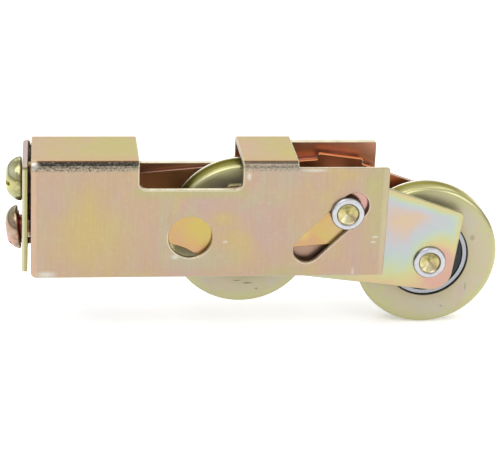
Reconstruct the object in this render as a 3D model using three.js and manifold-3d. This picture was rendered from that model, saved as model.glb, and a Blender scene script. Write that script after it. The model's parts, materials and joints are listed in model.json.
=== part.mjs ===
// Tandem sliding-door roller: a zinc-plated sheet-steel housing that slips into a
// door's bottom rail, two grooved steel wheels on ball bearings, a rocking wheel
// carriage hung on a pivot pin, and an end screw that draws the pin along a pair
// of 45 degree slots to set the ride height.
//
// Units are millimetres. Working frame: X along the housing from its screw end,
// Y across its thickness from the front wall, Z up from the housing's lower edge.
// The exported group is shifted so that its origin is the point on the top face
// where the door rests (see ORIGIN).

import * as THREE from 'three';
import { mergeVertices } from 'three/addons/utils/BufferGeometryUtils.js';
import Module from 'manifold-3d';

const wasm = await Module();
wasm.setup();

const { degToRad } = THREE.MathUtils;

// ---------------------------------------------------------------- dimensions
// housing sheet
const LENGTH = 91.2;            // housing, from X = 0 to its far end
const WIDTH = 22.5;             // over both side walls
const HEIGHT = 31.4;            // lower edge to top face
const MID = WIDTH / 2;
const SHEET = 1.4;              // housing and carriage sheet thickness
const BEND_OUT = 1.9;           // outside radius of the bends
const BEND_IN = BEND_OUT - SHEET;
const WALL_TOP_OPEN = 30.0;     // top of the side walls where there is no web
const WALL_LAP = 6;             // how far those walls run back into the channel
const WINDOW_X = [27.3, 53.6];  // opening between the two top tabs
const WINDOW_Z = 24.0;          // its lower edge
const TAB2_END = 68.0;          // right end of the second top tab
const HOLE = { x: 40.5, z: 11.0, d: 11.3 };
const OVERSHOOT = 1;            // how far cutters and blanks run past the sheet

// end flange, bent from the back wall
const FLANGE_OUTER = -2.2;
const FLANGE_INNER = FLANGE_OUTER + SHEET;
const FLANGE_Z = [1.5, 29.6];
const FLANGE_FRONT = 1.0;       // free edge of the flange, behind the front wall's face
const FLANGE_LAP = 1.5;         // X to which the flange runs into the back wall
const MOUNT_SCREW_Z = 23.25;
const COLLAR_R = 4.4;           // extruded and tapped collars, flange and link
const COLLAR_CHAMFER = 0.3;
const SEAT_D = 12.0;            // shallow seat pressed into the flange round each screw head
const SEAT_DEPTH = 0.05;

// pivot and its slots
const PIVOT = { x: 81.05, z: 17.45 };
const SLOT_W = 7.2;
const SLOT_TRAVEL = [-14.35, 2.72];   // slot end centres, from the pivot along 45 degrees
const PIN_D = 6.9;
const PIN_HOLE_D = 7.2;
const RIVET_HEAD_D = 8.8;
const RIVET_RECESS_D = 5.9;

// carriage; u runs along it and v up it, from the pivot
const CARRIAGE_TILT = degToRad(7.54);   // +X end down at rest
const PLATE_Y = 3.15;           // outer face of the front carriage plate
const CARRIAGE_OUTSIDE = MID - PLATE_Y;            // mid width to a plate's outer face
const CARRIAGE_INSIDE = CARRIAGE_OUTSIDE - SHEET;  // and to its inner face
const PLATE_HALF = 31.6;
const PLATE_BOTTOM = -20.07;
const EAR_HALF = 6.0;
const EAR_TOP = 9.3;
const SHOULDER_TOP = 7.75;      // plate edge beside the ear
const PLATE_END_TOP = 2.45;     // plate edge at its ends
const AXLE_U = 24.95;
const AXLE_V = -11.95;
const AXLE_D = 7.9;
const SPACER_TUBE_R = 5;        // outside radius of the tube round the pivot pin
const AXLE_SPACER_R = [4.05, 5.5];

// wheels and 8 x 22 x 7 bearings
const WHEEL_R = 19.05;          // 1 1/2 inch wheel
const WHEEL_W = 8.2;
const BEARING = { bore: 8.0, od: 22.0, w: 7.0, pitch: 15.0, ball: 3.8, balls: 7 };
const CAGE = { halfWall: 0.55, y: [-1.1, 2.35], pocketR: 2.15 };
const SEAL = { r: [6.17, 9.5], y: [2.6, 3.1] };

// draw link
const LINK_Y = 1.65;            // outer face of its front arm
const LINK_T = 1.2;
const LINK_HALF = 8.85;         // half the arm's height
const LINK_NECK_TOP = LINK_HALF - 1.6;
const LINK_END = -67.4;         // its end web, from the pivot
const LINK_BLANK = 12;          // reach of the uncut blank past the pivot, and up and down
const LINK_TILT = degToRad(5.085);   // pivot end up at rest

// screws
const THREAD_D = 5.8;
const HEAD_D = 11.3;
const ADJUST_BORE_R = 3.25;     // holes for the adjusting screw
const SCREW_CENTRE_X = (FLANGE_OUTER + FLANGE_INNER) / 2;   // where that screw swivels
const SCREW_CENTRE_Z = PIVOT.z - (PIVOT.x - SCREW_CENTRE_X) * Math.tan(LINK_TILT);
const MOUNT_HEAD_GAP = 0.05;    // mounting screw head off the flange's outer plane

const ORIGIN = new THREE.Vector3(13.5, MID, HEIGHT);

// facets
const SEG_WHEEL = 36;
const SEG_SMALL = 20;
const SEG_CAGE = 28;
const SEG_ACCESS_HOLE = 32;
const SEG_BALL = [8, 6];        // round and from pole to pole
const STEPS_SLOT_END = 10;
const STEPS_LINK_END = 12;

// ---------------------------------------------------------------- finishes
const metal = (color, roughness) => ({ color, roughness, metalness: 1 });
const plastic = (color, roughness) => ({ color, roughness, metalness: 0 });

// yellow-passivated zinc, tan to pink; olive on the turned wheels
const ZINC = 0xcdb598;
const ZINC_OLIVE = 0xc3b98a;
const STEEL = 0xb9bec3;

const FINISH = {
  housing: metal(ZINC, 0.34),
  carriagePlate: metal(ZINC, 0.3),
  wheel: metal(ZINC_OLIVE, 0.3),
  mountingScrew: metal(ZINC_OLIVE, 0.28),
  adjustingScrew: metal(0xc9a48c, 0.28),
  thrustWasher: metal(0x7a3f30, 0.4),
  drawLink: metal(0xd8bb78, 0.32),
  rivetedPin: metal(0xdfe0e6, 0.25),
  plainSteel: metal(STEEL, 0.35),
  bearingRing: metal(STEEL, 0.2),
  ball: metal(0xd0d4d8, 0.08),
  seal: plastic(0x202022, 0.6),
  cage: plastic(0x8c6a3e, 0.5),
};

// ---------------------------------------------------------------- mesh helpers
// unindexed geometry with its faces pointing out: winding is flipped if the
// signed volume is negative
function oriented(geometry) {
  const result = geometry.index ? geometry.toNonIndexed() : geometry;
  const p = result.getAttribute('position').array;
  let volume = 0;
  for (let i = 0; i < p.length; i += 9) {
    volume += p[i] * (p[i + 4] * p[i + 8] - p[i + 5] * p[i + 7])
      - p[i + 1] * (p[i + 3] * p[i + 8] - p[i + 5] * p[i + 6])
      + p[i + 2] * (p[i + 3] * p[i + 7] - p[i + 4] * p[i + 6]);
  }
  if (volume < 0) {
    for (let i = 0; i < p.length; i += 9) {
      for (let k = 3; k < 6; k++) {
        [p[i + k], p[i + k + 3]] = [p[i + k + 3], p[i + k]];
      }
    }
  }
  return result;
}

function solid(geometry) {
  const faces = oriented(geometry);
  for (const name of Object.keys(faces.attributes)) {
    if (name !== 'position') faces.deleteAttribute(name);
  }
  const merged = mergeVertices(faces, 1e-4);
  return new wasm.Manifold(new wasm.Mesh({
    numProp: 3,
    vertProperties: new Float32Array(merged.getAttribute('position').array),
    triVerts: new Uint32Array(merged.index.array),
  }));
}

function geometryOf(manifold) {
  const { vertProperties, triVerts } = manifold.getMesh();
  const geometry = new THREE.BufferGeometry();
  geometry.setAttribute('position', new THREE.Float32BufferAttribute(vertProperties, 3));
  geometry.setIndex(new THREE.Uint32BufferAttribute(triVerts, 1));
  return geometry;
}

function addMesh(parent, name, geometry, finish) {
  const mesh = new THREE.Mesh(oriented(geometry), new THREE.MeshStandardMaterial(finish));
  mesh.name = name;
  parent.add(mesh);
  return mesh;
}

function addGroup(parent, x, y, z, tilt = 0) {
  const group = new THREE.Group();
  group.position.set(x, y, z);
  group.rotation.y = tilt;
  parent.add(group);
  return group;
}

// ---------------------------------------------------------------- outlines
const toPoints = (pairs) => pairs.map(([x, y]) => new THREE.Vector2(x, y));

// steps + 1 points along an arc
function arcPoints(x, y, radius, start, sweep, steps) {
  return Array.from({ length: steps + 1 }, (_, k) => {
    const angle = start + (sweep * k) / steps;
    return new THREE.Vector2(x + radius * Math.cos(angle), y + radius * Math.sin(angle));
  });
}

// a polygon with rounded corners; corners are [x, y] or [x, y, radius, steps]
function rounded(corners) {
  const vertices = toPoints(corners);
  const count = corners.length;
  const outline = corners.flatMap(([, , radius, steps], i) => {
    const here = vertices[i];
    if (!radius) return [here];
    const before = vertices[(i + count - 1) % count].clone().sub(here).normalize();
    const after = vertices[(i + 1) % count].clone().sub(here).normalize();
    const half = Math.acos(THREE.MathUtils.clamp(before.dot(after), -1, 1)) / 2;
    const tangent = radius / Math.tan(half);
    const bisector = before.clone().add(after).normalize();
    const centre = here.clone().addScaledVector(bisector, radius / Math.sin(half));
    const from = here.clone().addScaledVector(before, tangent).sub(centre);
    const to = here.clone().addScaledVector(after, tangent).sub(centre);
    const start = Math.atan2(from.y, from.x);
    let sweep = Math.atan2(to.y, to.x) - start;
    if (sweep > Math.PI) sweep -= 2 * Math.PI;
    if (sweep < -Math.PI) sweep += 2 * Math.PI;
    return arcPoints(centre.x, centre.y, radius, start, sweep, steps);
  });
  return new THREE.Shape(outline);
}

// a full circle drawn as a polygon
function disc(x, y, radius, sides) {
  return new THREE.Shape(arcPoints(x, y, radius, 0, 2 * Math.PI, sides).slice(0, -1));
}

// a slot with round ends between two [x, y] centres
function slotShape(start, end, radius) {
  const angle = Math.atan2(end[1] - start[1], end[0] - start[0]);
  return new THREE.Shape([
    ...arcPoints(...end, radius, angle - Math.PI / 2, Math.PI, STEPS_SLOT_END),
    ...arcPoints(...start, radius, angle + Math.PI / 2, Math.PI, STEPS_SLOT_END),
  ]);
}

// ---------------------------------------------------------------- extruded and turned bodies
const extruded = (shape, depth) => (
  new THREE.ExtrudeGeometry(shape, { depth, bevelEnabled: false })
);

// an outline in Y and Z, extruded along X
function alongX(shape, x0, x1) {
  return extruded(shape, x1 - x0)
    .applyMatrix4(new THREE.Matrix4().makeBasis(
      new THREE.Vector3(0, 1, 0),
      new THREE.Vector3(0, 0, 1),
      new THREE.Vector3(1, 0, 0),
    ))
    .translate(x0, 0, 0);
}

// an outline in X and Z, extruded along Y
const alongY = (shape, y0, y1) => (
  extruded(shape, y1 - y0).rotateX(Math.PI / 2).translate(0, y1, 0)
);

// an outline in X and Y, extruded along Z
const alongZ = (shape, z0, z1) => extruded(shape, z1 - z0).translate(0, 0, z0);

// a solid of revolution about the Y axis; profile is [radius, y] pairs, closed
// back to its start unless it starts on the axis
function turned(profile, segments = SEG_SMALL) {
  const closed = profile[0][0] === 0 ? profile : [...profile, profile[0]];
  return new THREE.LatheGeometry(toPoints(closed), segments);
}

// the same along X; profile is [radius, x] pairs
const turnedX = (profile, y = 0, z = 0) => (
  turned(profile).rotateZ(-Math.PI / 2).translate(0, y, z)
);

// a cylinder along X at mid width
const cylinderX = (radius, x0, x1, z = 0) => (
  solid(turnedX([[0, x0], [radius, x0], [radius, x1], [0, x1]], MID, z))
);

// a collar along X at mid width, chamfered at x1
const collarX = (x0, x1, z = 0) => solid(turnedX([
  [0, x0], [COLLAR_R, x0], [COLLAR_R, x1 - COLLAR_CHAMFER], [COLLAR_R - COLLAR_CHAMFER, x1], [0, x1],
], MID, z));

// profile of a plain ring or tube
const tube = (inner, outer, start, end) => [
  [inner, start], [outer, start], [outer, end], [inner, end],
];

// ---------------------------------------------------------------- housing
// channel open at the bottom, with two top tabs and the window between them
function channel() {
  const section = rounded([
    [0, 0], [SHEET, 0], [SHEET, HEIGHT - SHEET, BEND_IN, 2],
    [WIDTH - SHEET, HEIGHT - SHEET, BEND_IN, 2], [WIDTH - SHEET, 0], [WIDTH, 0],
    [WIDTH, HEIGHT, BEND_OUT, 5], [0, HEIGHT, BEND_OUT, 5],
  ]);
  const above = HEIGHT + OVERSHOOT;
  const side = rounded([
    [0, 0, 0.8, 2], [TAB2_END, 0], [TAB2_END, above], [WINDOW_X[1], above],
    [WINDOW_X[1], WINDOW_Z, 1.1, 3], [WINDOW_X[0], WINDOW_Z, 1.1, 3],
    [WINDOW_X[0], above], [0, above],
  ]);
  return solid(alongX(section, -OVERSHOOT, LENGTH + OVERSHOOT))
    .intersect(solid(alongY(side, -OVERSHOOT, WIDTH + OVERSHOOT)));
}

// outline of the plain side walls beyond the second tab
function openWall() {
  const lapX = TAB2_END - WALL_LAP;
  const lapTop = HEIGHT - BEND_OUT - 0.3;
  return rounded([
    [lapX, 0], [LENGTH, 0, 0.5, 2], [LENGTH, WALL_TOP_OPEN, 0.9, 3],
    [TAB2_END, WALL_TOP_OPEN], [TAB2_END, lapTop], [lapX, lapTop],
  ]);
}

// the back wall carried past the corner and bent across the end
function endFlange() {
  const outline = rounded([
    [FLANGE_OUTER, FLANGE_FRONT], [FLANGE_INNER, FLANGE_FRONT],
    [FLANGE_INNER, WIDTH - SHEET, BEND_IN, 2], [FLANGE_LAP, WIDTH - SHEET],
    [FLANGE_LAP, WIDTH], [FLANGE_OUTER, WIDTH, BEND_OUT, 5],
  ]);
  return solid(alongZ(outline, ...FLANGE_Z));
}

function housingShell() {
  const throughWalls = (shape) => solid(alongY(shape, -OVERSHOOT, WIDTH + OVERSHOOT));
  const slotEnd = (travel) => [
    PIVOT.x + travel * Math.SQRT1_2, PIVOT.z + travel * Math.SQRT1_2,
  ];
  let shell = channel()
    .add(solid(alongY(openWall(), 0, SHEET)))
    .add(solid(alongY(openWall(), WIDTH - SHEET, WIDTH)))
    .add(endFlange())
    .add(collarX(FLANGE_INNER - 0.5, 1.3, MOUNT_SCREW_Z))
    .subtract(throughWalls(disc(HOLE.x, HOLE.z, HOLE.d / 2, SEG_ACCESS_HOLE)))
    .subtract(throughWalls(slotShape(...SLOT_TRAVEL.map(slotEnd), SLOT_W / 2)));

  // screw holes through the flange, each with its head seat
  const outside = -4;
  for (const [radius, z] of [
    [THREAD_D / 2 + 0.2, MOUNT_SCREW_Z],
    [ADJUST_BORE_R, SCREW_CENTRE_Z],
  ]) {
    shell = shell
      .subtract(cylinderX(radius, outside, 4, z))
      .subtract(cylinderX(SEAT_D / 2, outside, FLANGE_OUTER + SEAT_DEPTH, z));
  }
  return shell;
}

// ---------------------------------------------------------------- screws and pins
// pan head with a driver slot across it and a cross recess, both turned about
// the axis by driveAngle; the head bears at x = seat and the shank runs to tip
function panScrew({ seat, headHeight, tip, driveAngle }) {
  const headR = HEAD_D / 2;
  const threadR = THREAD_D / 2;
  const top = seat - headHeight;
  const body = solid(turnedX([
    [0, top], [1.9, top], [3.2, top + 0.3], [4.35, top + 0.9], [5.2, top + 1.8],
    [headR - 0.05, top + 2.8], [headR, seat - 0.5], [headR - 0.3, seat],
    [threadR, seat], [threadR, tip - 0.8], [threadR - 0.8, tip], [0, tip],
  ]));
  // boxes centred on the head's top, so half their X size cuts
  const recess = (depth, y, z) => solid(
    new THREE.BoxGeometry(2 * depth, y, z).rotateX(driveAngle).translate(top, 0, 0),
  );
  return geometryOf(body.subtract(recess(1.3, 20, 0.95)).subtract(recess(1.9, 0.95, 5.6)));
}

// a solid pin whose ends are rolled into rivet heads with conical dimples; each
// head spans headIn to headOut from mid length, with middle as the shank's steps
function rivetedPin(headOut, headIn, middle = []) {
  const headR = RIVET_HEAD_D / 2;
  const recessR = RIVET_RECESS_D / 2;
  const end = (side) => [
    [0, side * (headOut - 1.5)], [recessR - 0.25, side * (headOut - 0.85)],
    [recessR + 0.1, side * headOut], [headR - 0.45, side * headOut],
    [headR, side * (headOut - 0.5)], [headR - 0.1, side * headIn], [PIN_D / 2, side * headIn],
  ];
  return turned([...end(-1), ...middle, ...end(1).reverse()]);
}

// ---------------------------------------------------------------- carriage
function carriagePlate() {
  const outline = rounded([
    [-PLATE_HALF, PLATE_BOTTOM, 5.2, 6], [PLATE_HALF, PLATE_BOTTOM, 5.2, 6],
    [PLATE_HALF, PLATE_END_TOP, 1.1, 3], [EAR_HALF, SHOULDER_TOP], [EAR_HALF, EAR_TOP, 0.4, 1],
    [-EAR_HALF, EAR_TOP, 0.4, 1], [-EAR_HALF, SHOULDER_TOP],
    [-PLATE_HALF, PLATE_END_TOP, 1.1, 3],
  ]);
  for (const [u, v] of [[0, 0], [-AXLE_U, AXLE_V], [AXLE_U, AXLE_V]]) {
    outline.holes.push(disc(u, v, PIN_HOLE_D / 2, SEG_SMALL));
  }
  return outline;
}

// axle with a thicker middle between the plates
function axle() {
  const shoulder = CARRIAGE_INSIDE - 0.05;
  return rivetedPin(CARRIAGE_OUTSIDE + 0.9, CARRIAGE_OUTSIDE + 0.05, [
    [PIN_D / 2, -shoulder], [AXLE_D / 2, -shoulder], [AXLE_D / 2, shoulder], [PIN_D / 2, shoulder],
  ]);
}

// ---------------------------------------------------------------- draw link
// side outline after the rounded pivot end, [x, z] from the pivot: along the
// top, down the end web and back along the lower edge
const LINK_EDGE = [
  [-60.5, LINK_HALF], [-63.5, LINK_NECK_TOP], [LINK_END - 1, LINK_NECK_TOP],
  [LINK_END - 1, -4.6], [-48.5, -4.6], [-46.3, -4.85], [-44.0, -5.6], [-42.2, -6.5],
  [-40.6, -7.7], [-39.2, -8.55], [-37.5, -LINK_HALF],
  // arch that clears the rivet head of the left axle as the carriage rocks
  [-32.5, -LINK_HALF], [-32.5, -5.4], [-31.7, -2.9], [-29.8, -1.1], [-27.2, -0.3],
  [-24.6, -0.3], [-22.0, -1.1], [-20.1, -2.9], [-19.3, -5.4], [-19.3, -LINK_HALF],
];

function drawLink() {
  const near = LINK_Y;
  const far = WIDTH - LINK_Y;
  const webInner = LINK_END + LINK_T;
  // seen from above: two arms joined by the end web
  const plan = rounded([
    [LINK_END, near, 1.7, 4], [LINK_BLANK, near], [LINK_BLANK, near + LINK_T],
    [webInner, near + LINK_T, 0.5, 2], [webInner, far - LINK_T, 0.5, 2],
    [LINK_BLANK, far - LINK_T], [LINK_BLANK, far], [LINK_END, far, 1.7, 4],
  ]);
  const side = new THREE.Shape([
    ...arcPoints(0, 0, LINK_HALF, -Math.PI / 2, Math.PI, STEPS_LINK_END),
    ...toPoints(LINK_EDGE),
  ]);
  side.holes.push(disc(0, 0, PIN_HOLE_D / 2, SEG_SMALL));
  return solid(alongZ(plan, -LINK_BLANK, LINK_BLANK))
    .intersect(solid(alongY(side, 0, WIDTH)))
    // collar that runs on the adjusting screw, and its bore
    .add(collarX(LINK_END + 0.4, LINK_END + 3.6))
    .subtract(cylinderX(ADJUST_BORE_R, LINK_END - 3, LINK_END + 9));
}

// ---------------------------------------------------------------- wheel and bearing
// profiles are [radius, y] from the wheel's mid plane
const wheelSide = (side) => [
  [BEARING.od / 2 + 0.05, side * (WHEEL_W / 2)], [WHEEL_R - 0.65, side * (WHEEL_W / 2)],
  [WHEEL_R, side * 3.5], [WHEEL_R - 0.2, side * 2.95],
  [WHEEL_R - 1.85, side * 2.35], [WHEEL_R - 3.1, side * 0.8],
];
const WHEEL_PROFILE = [...wheelSide(-1), ...wheelSide(1).reverse()];

const RING_R = { inner: BEARING.bore / 2, outer: BEARING.od / 2 };
const RING_Y = BEARING.w / 2;
const OUTER_RING = [
  [9.6, -RING_Y], [RING_R.outer, -RING_Y], [RING_R.outer, RING_Y], [9.6, RING_Y],
  [9.6, 2.3], [9.2, 2.1], [9.2, 1.3], [9.55, 0], [9.2, -1.3], [9.2, -2.1], [9.6, -2.3],
];
const INNER_RING = [
  [RING_R.inner, -RING_Y], [6.05, -RING_Y], [6.05, -1.35], [5.45, -0.4],
  [5.45, 0.4], [6.05, 1.35], [6.05, RING_Y], [RING_R.inner, RING_Y],
];

const PITCH_R = BEARING.pitch / 2;
const BALL_CENTRES = Array.from({ length: BEARING.balls }, (_, k) => {
  const angle = (2 * Math.PI * k) / BEARING.balls;
  return new THREE.Vector3(PITCH_R * Math.cos(angle), 0, PITCH_R * Math.sin(angle));
});

function cage() {
  const wall = tube(PITCH_R - CAGE.halfWall, PITCH_R + CAGE.halfWall, ...CAGE.y);
  let ring = solid(turned(wall, SEG_CAGE));
  for (const centre of BALL_CENTRES) {
    const pocket = new THREE.SphereGeometry(CAGE.pocketR, ...SEG_BALL);
    ring = ring.subtract(solid(pocket.translate(...centre)));
  }
  return ring;
}

// one axle with its spacers, bearing and wheel
function addWheelSet(carriage, label, u) {
  const set = addGroup(carriage, u, 0, AXLE_V);
  const add = (name, geometry, finish) => addMesh(set, `${label}_${name}`, geometry, finish);

  add('axle', axle(), FINISH.rivetedPin);
  for (const [sideName, side] of [['front', -1], ['rear', 1]]) {
    const spacerY = [side * (BEARING.w / 2 + 0.06), side * (CARRIAGE_INSIDE - 0.08)];
    const spacer = turned(tube(...AXLE_SPACER_R, ...spacerY));
    const seal = turned(tube(...SEAL.r, ...SEAL.y.map((y) => side * y)), SEG_WHEEL);
    add(`axle_spacer_${sideName}`, spacer, FINISH.plainSteel);
    add(`bearing_seal_${sideName}`, seal, FINISH.seal);
  }
  add('bearing_inner_ring', turned(INNER_RING), FINISH.bearingRing);
  add('bearing_outer_ring', turned(OUTER_RING, SEG_WHEEL), FINISH.bearingRing);
  add('wheel', turned(WHEEL_PROFILE, SEG_WHEEL), FINISH.wheel);
  add('bearing_cage', geometryOf(cage()), FINISH.cage);
  BALL_CENTRES.forEach((centre, k) => {
    const sphere = new THREE.SphereGeometry(BEARING.ball / 2, ...SEG_BALL);
    add(`bearing_ball_${k + 1}`, sphere, FINISH.ball).position.copy(centre);
  });
}

// ---------------------------------------------------------------- assembly
const root = new THREE.Group();
root.position.copy(ORIGIN).negate();

addMesh(root, 'housing_shell', geometryOf(housingShell()), FINISH.housing);

const mountingScrew = panScrew({ seat: 0, headHeight: 4.25, tip: 13.0, driveAngle: 0 });
addMesh(root, 'mounting_screw', mountingScrew, FINISH.mountingScrew)
  .position.set(FLANGE_OUTER - MOUNT_HEAD_GAP, MID, MOUNT_SCREW_Z);

// the adjusting screw, the thrust washer under its head and its retaining ring inside
const screwGroup = addGroup(root, SCREW_CENTRE_X, MID, SCREW_CENTRE_Z, -LINK_TILT);
const adjustingScrew = panScrew({
  seat: -2.1, headHeight: 3.55, tip: 21.5, driveAngle: Math.PI / 4,
});
const thrustWasher = turnedX(tube(3.0, 4.25, -2.05, -1.25));
const retainingRing = turnedX(tube(2.95, 4.3, 1.3, 1.95));
addMesh(screwGroup, 'adjusting_screw', adjustingScrew, FINISH.adjustingScrew);
addMesh(screwGroup, 'thrust_washer', thrustWasher, FINISH.thrustWasher);
addMesh(screwGroup, 'retaining_ring', retainingRing, FINISH.plainSteel);

// the pin and everything hung on it
const pivotGroup = addGroup(root, PIVOT.x, MID, PIVOT.z);
addMesh(pivotGroup, 'pivot_pin', rivetedPin(MID + 1.2, MID + 0.1), FINISH.rivetedPin);

const linkGroup = addGroup(root, PIVOT.x, 0, PIVOT.z, -LINK_TILT);
addMesh(linkGroup, 'draw_link', geometryOf(drawLink()), FINISH.drawLink);

const carriage = addGroup(root, PIVOT.x, MID, PIVOT.z, CARRIAGE_TILT);
for (const [name, y0, y1] of [
  ['carriage_plate_front', -CARRIAGE_OUTSIDE, -CARRIAGE_INSIDE],
  ['carriage_plate_rear', CARRIAGE_INSIDE, CARRIAGE_OUTSIDE],
]) {
  addMesh(carriage, name, alongY(carriagePlate(), y0, y1), FINISH.carriagePlate);
}
const tubeEnd = CARRIAGE_INSIDE - 0.1;
const spacerTube = turned(tube(PIN_HOLE_D / 2, SPACER_TUBE_R, -tubeEnd, tubeEnd));
addMesh(carriage, 'pivot_spacer_tube', spacerTube, FINISH.plainSteel);

addWheelSet(carriage, 'left', -AXLE_U);
addWheelSet(carriage, 'right', AXLE_U);

export default root;
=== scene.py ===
import json
import math

import bpy
from mathutils import Matrix, Vector
from mathutils.geometry import tessellate_polygon


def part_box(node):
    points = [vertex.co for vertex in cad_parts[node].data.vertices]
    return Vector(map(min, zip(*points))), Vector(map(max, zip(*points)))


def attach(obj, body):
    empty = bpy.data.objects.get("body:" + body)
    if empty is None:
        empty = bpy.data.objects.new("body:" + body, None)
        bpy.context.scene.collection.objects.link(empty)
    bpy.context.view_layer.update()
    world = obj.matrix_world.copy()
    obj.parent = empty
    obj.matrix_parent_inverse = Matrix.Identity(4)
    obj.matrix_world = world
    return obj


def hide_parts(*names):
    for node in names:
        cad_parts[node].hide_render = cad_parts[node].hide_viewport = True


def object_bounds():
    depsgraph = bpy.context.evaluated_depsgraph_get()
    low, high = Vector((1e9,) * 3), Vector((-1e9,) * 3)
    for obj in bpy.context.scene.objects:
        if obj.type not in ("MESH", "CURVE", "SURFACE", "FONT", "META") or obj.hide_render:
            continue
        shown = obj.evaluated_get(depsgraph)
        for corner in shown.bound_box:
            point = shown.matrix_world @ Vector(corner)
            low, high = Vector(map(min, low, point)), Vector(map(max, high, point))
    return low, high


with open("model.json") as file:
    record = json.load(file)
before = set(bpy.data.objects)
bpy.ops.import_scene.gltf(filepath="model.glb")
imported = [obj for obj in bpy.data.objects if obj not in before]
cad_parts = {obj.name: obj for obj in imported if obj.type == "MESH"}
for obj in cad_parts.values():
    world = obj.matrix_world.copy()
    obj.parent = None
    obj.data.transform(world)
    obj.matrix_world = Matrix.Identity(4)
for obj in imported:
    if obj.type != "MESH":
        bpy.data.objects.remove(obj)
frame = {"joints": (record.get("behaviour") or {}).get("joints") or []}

cad_box = [list(v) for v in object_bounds()]

# ------------------------------------------------------------------ datums
MM = 0.001
joints = {j["name"]: j for j in frame["joints"]}
PIV = Vector(joints["carriage_rock"]["pos_m"]) * 1000
AXLE = {
    "left": Vector(joints["left_wheel_spin"]["pos_m"]) * 1000,
    "right": Vector(joints["right_wheel_spin"]["pos_m"]) * 1000,
}
SCR = Vector(joints["screw_tilt"]["pos_m"]) * 1000
HLO, HHI = (v * 1000 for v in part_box("housing_shell"))
# drawing frame of the housing: X from its screw end, Y from the front wall, Z from the lower edge
OFF = Vector((HLO.x + 2.2, HLO.y, HLO.z))


def place(x, y, z):
    """A drawing-frame point in the row frame, in mm."""
    return Vector((x, y, z)) + OFF


_d = AXLE["right"] - AXLE["left"]
TILT = math.atan2(-_d.z, _d.x)
CARRIAGE = Matrix.Translation(PIV) @ Matrix.Rotation(TILT, 4, "Y")
_l = PIV - SCR
LIFT = math.atan2(_l.z, _l.x)
LINK = Matrix.Translation(PIV) @ Matrix.Rotation(-LIFT, 4, "Y")
SCREW = Matrix.Translation(SCR) @ Matrix.Rotation(-LIFT, 4, "Y")
_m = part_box("mounting_screw")
MSCREW = Matrix.Translation(place(-2.42, (HHI.y - HLO.y) / 2, (_m[0].z + _m[1].z) * 500 - HLO.z))

HEIGHT = HHI.z - HLO.z
WIDTH = HHI.y - HLO.y
LENGTH = HHI.x - OFF.x
SHEET = 1.4
MIDY = WIDTH / 2


# ------------------------------------------------------------------ mesh builder
class Mesh:
    """Collects faces with their own corner normals, in mm; vertices at one place are shared."""

    def __init__(self):
        self.v, self.key, self.f, self.n, self.r, self.h = [], {}, [], [], [], []
        self.mat = []

    def vert(self, p, r=0.0, h=0.0):
        k = (round(p[0], 4), round(p[1], 4), round(p[2], 4))
        i = self.key.get(k)
        if i is None:
            i = self.key[k] = len(self.v)
            self.v.append(Vector(p))
            self.r.append(r)
            self.h.append(h)
        return i

    def face(self, pts, normals, mat=0, rh=None):
        idx, ns = [], []
        for i, (p, n) in enumerate(zip(pts, normals)):
            a = self.vert(p, *(rh[i] if rh else (0.0, 0.0)))
            if a in idx:
                continue
            idx.append(a)
            ns.append(Vector(n))
        if len(idx) < 3:
            return
        a, b, c = self.v[idx[0]], self.v[idx[1]], self.v[idx[2]]
        g = (b - a).cross(c - a)
        if len(idx) > 3:
            g += (self.v[idx[2]] - a).cross(self.v[idx[3]] - a)
        if g.length < 1e-9:
            return
        if g.dot(sum(ns, Vector((0, 0, 0)))) < 0:
            idx.reverse()
            ns.reverse()
        self.f.append(idx)
        self.n.append(ns)
        self.mat.append(mat)

    def build(self, name, matrix=None):
        m = bpy.data.meshes.new(name)
        mat = matrix or Matrix.Identity(4)
        rot = mat.to_3x3()
        m.from_pydata([(mat @ p) * MM for p in self.v], [], self.f)
        m.polygons.foreach_set("use_smooth", [True] * len(m.polygons))
        m.polygons.foreach_set("material_index", self.mat)
        m.update()
        a = m.attributes.new("r_mm", "FLOAT", "POINT")
        a.data.foreach_set("value", self.r)
        a = m.attributes.new("h_mm", "FLOAT", "POINT")
        a.data.foreach_set("value", self.h)
        m.normals_split_custom_set([(rot @ n).normalized() for ns in self.n for n in ns])
        o = bpy.data.objects.new(name, m)
        bpy.context.scene.collection.objects.link(o)
        return o


def v2(a, b):
    return (b[0] - a[0], b[1] - a[1])


def unit(a):
    k = math.hypot(*a)
    return (a[0] / k, a[1] / k)


def area2(pts):
    return sum(
        pts[i][0] * pts[(i + 1) % len(pts)][1] - pts[(i + 1) % len(pts)][0] * pts[i][1]
        for i in range(len(pts))
    )


def loop2d(corners, ccw=True):
    """Corners are (x, y[, radius[, steps]]). Gives nodes (x, y, normal in, normal out), normals pointing off the material."""
    if (area2(corners) > 0) != ccw:
        corners = corners[::-1]
    n = len(corners)
    edges = []
    for i in range(n):
        d = unit(v2(corners[i], corners[(i + 1) % n]))
        edges.append((d, (d[1], -d[0])))
    out = []
    for i in range(n):
        c = corners[i]
        r = c[2] if len(c) > 2 else 0
        steps = c[3] if len(c) > 3 else 8
        (d0, n0), (d1, n1) = edges[i - 1], edges[i]
        cross = d0[0] * d1[1] - d0[1] * d1[0]
        dot = max(-1, min(1, d0[0] * d1[0] + d0[1] * d1[1]))
        turn = math.atan2(cross, dot)
        if abs(turn) < 1e-6:
            out.append((c[0], c[1], n0, n1))
            continue
        if not r:
            out.append((c[0], c[1], n0, n1))
            continue
        back = r * math.tan(abs(turn) / 2)
        p0 = (c[0] - d0[0] * back, c[1] - d0[1] * back)
        s = 1 if turn > 0 else -1
        centre = (p0[0] - n0[0] * r * s, p0[1] - n0[1] * r * s)
        for k in range(steps + 1):
            t = turn * k / steps
            ct, st = math.cos(t), math.sin(t)
            nn = (n0[0] * ct - n0[1] * st, n0[0] * st + n0[1] * ct)
            out.append((centre[0] + nn[0] * r * s, centre[1] + nn[1] * r * s, nn, nn))
    return out


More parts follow.
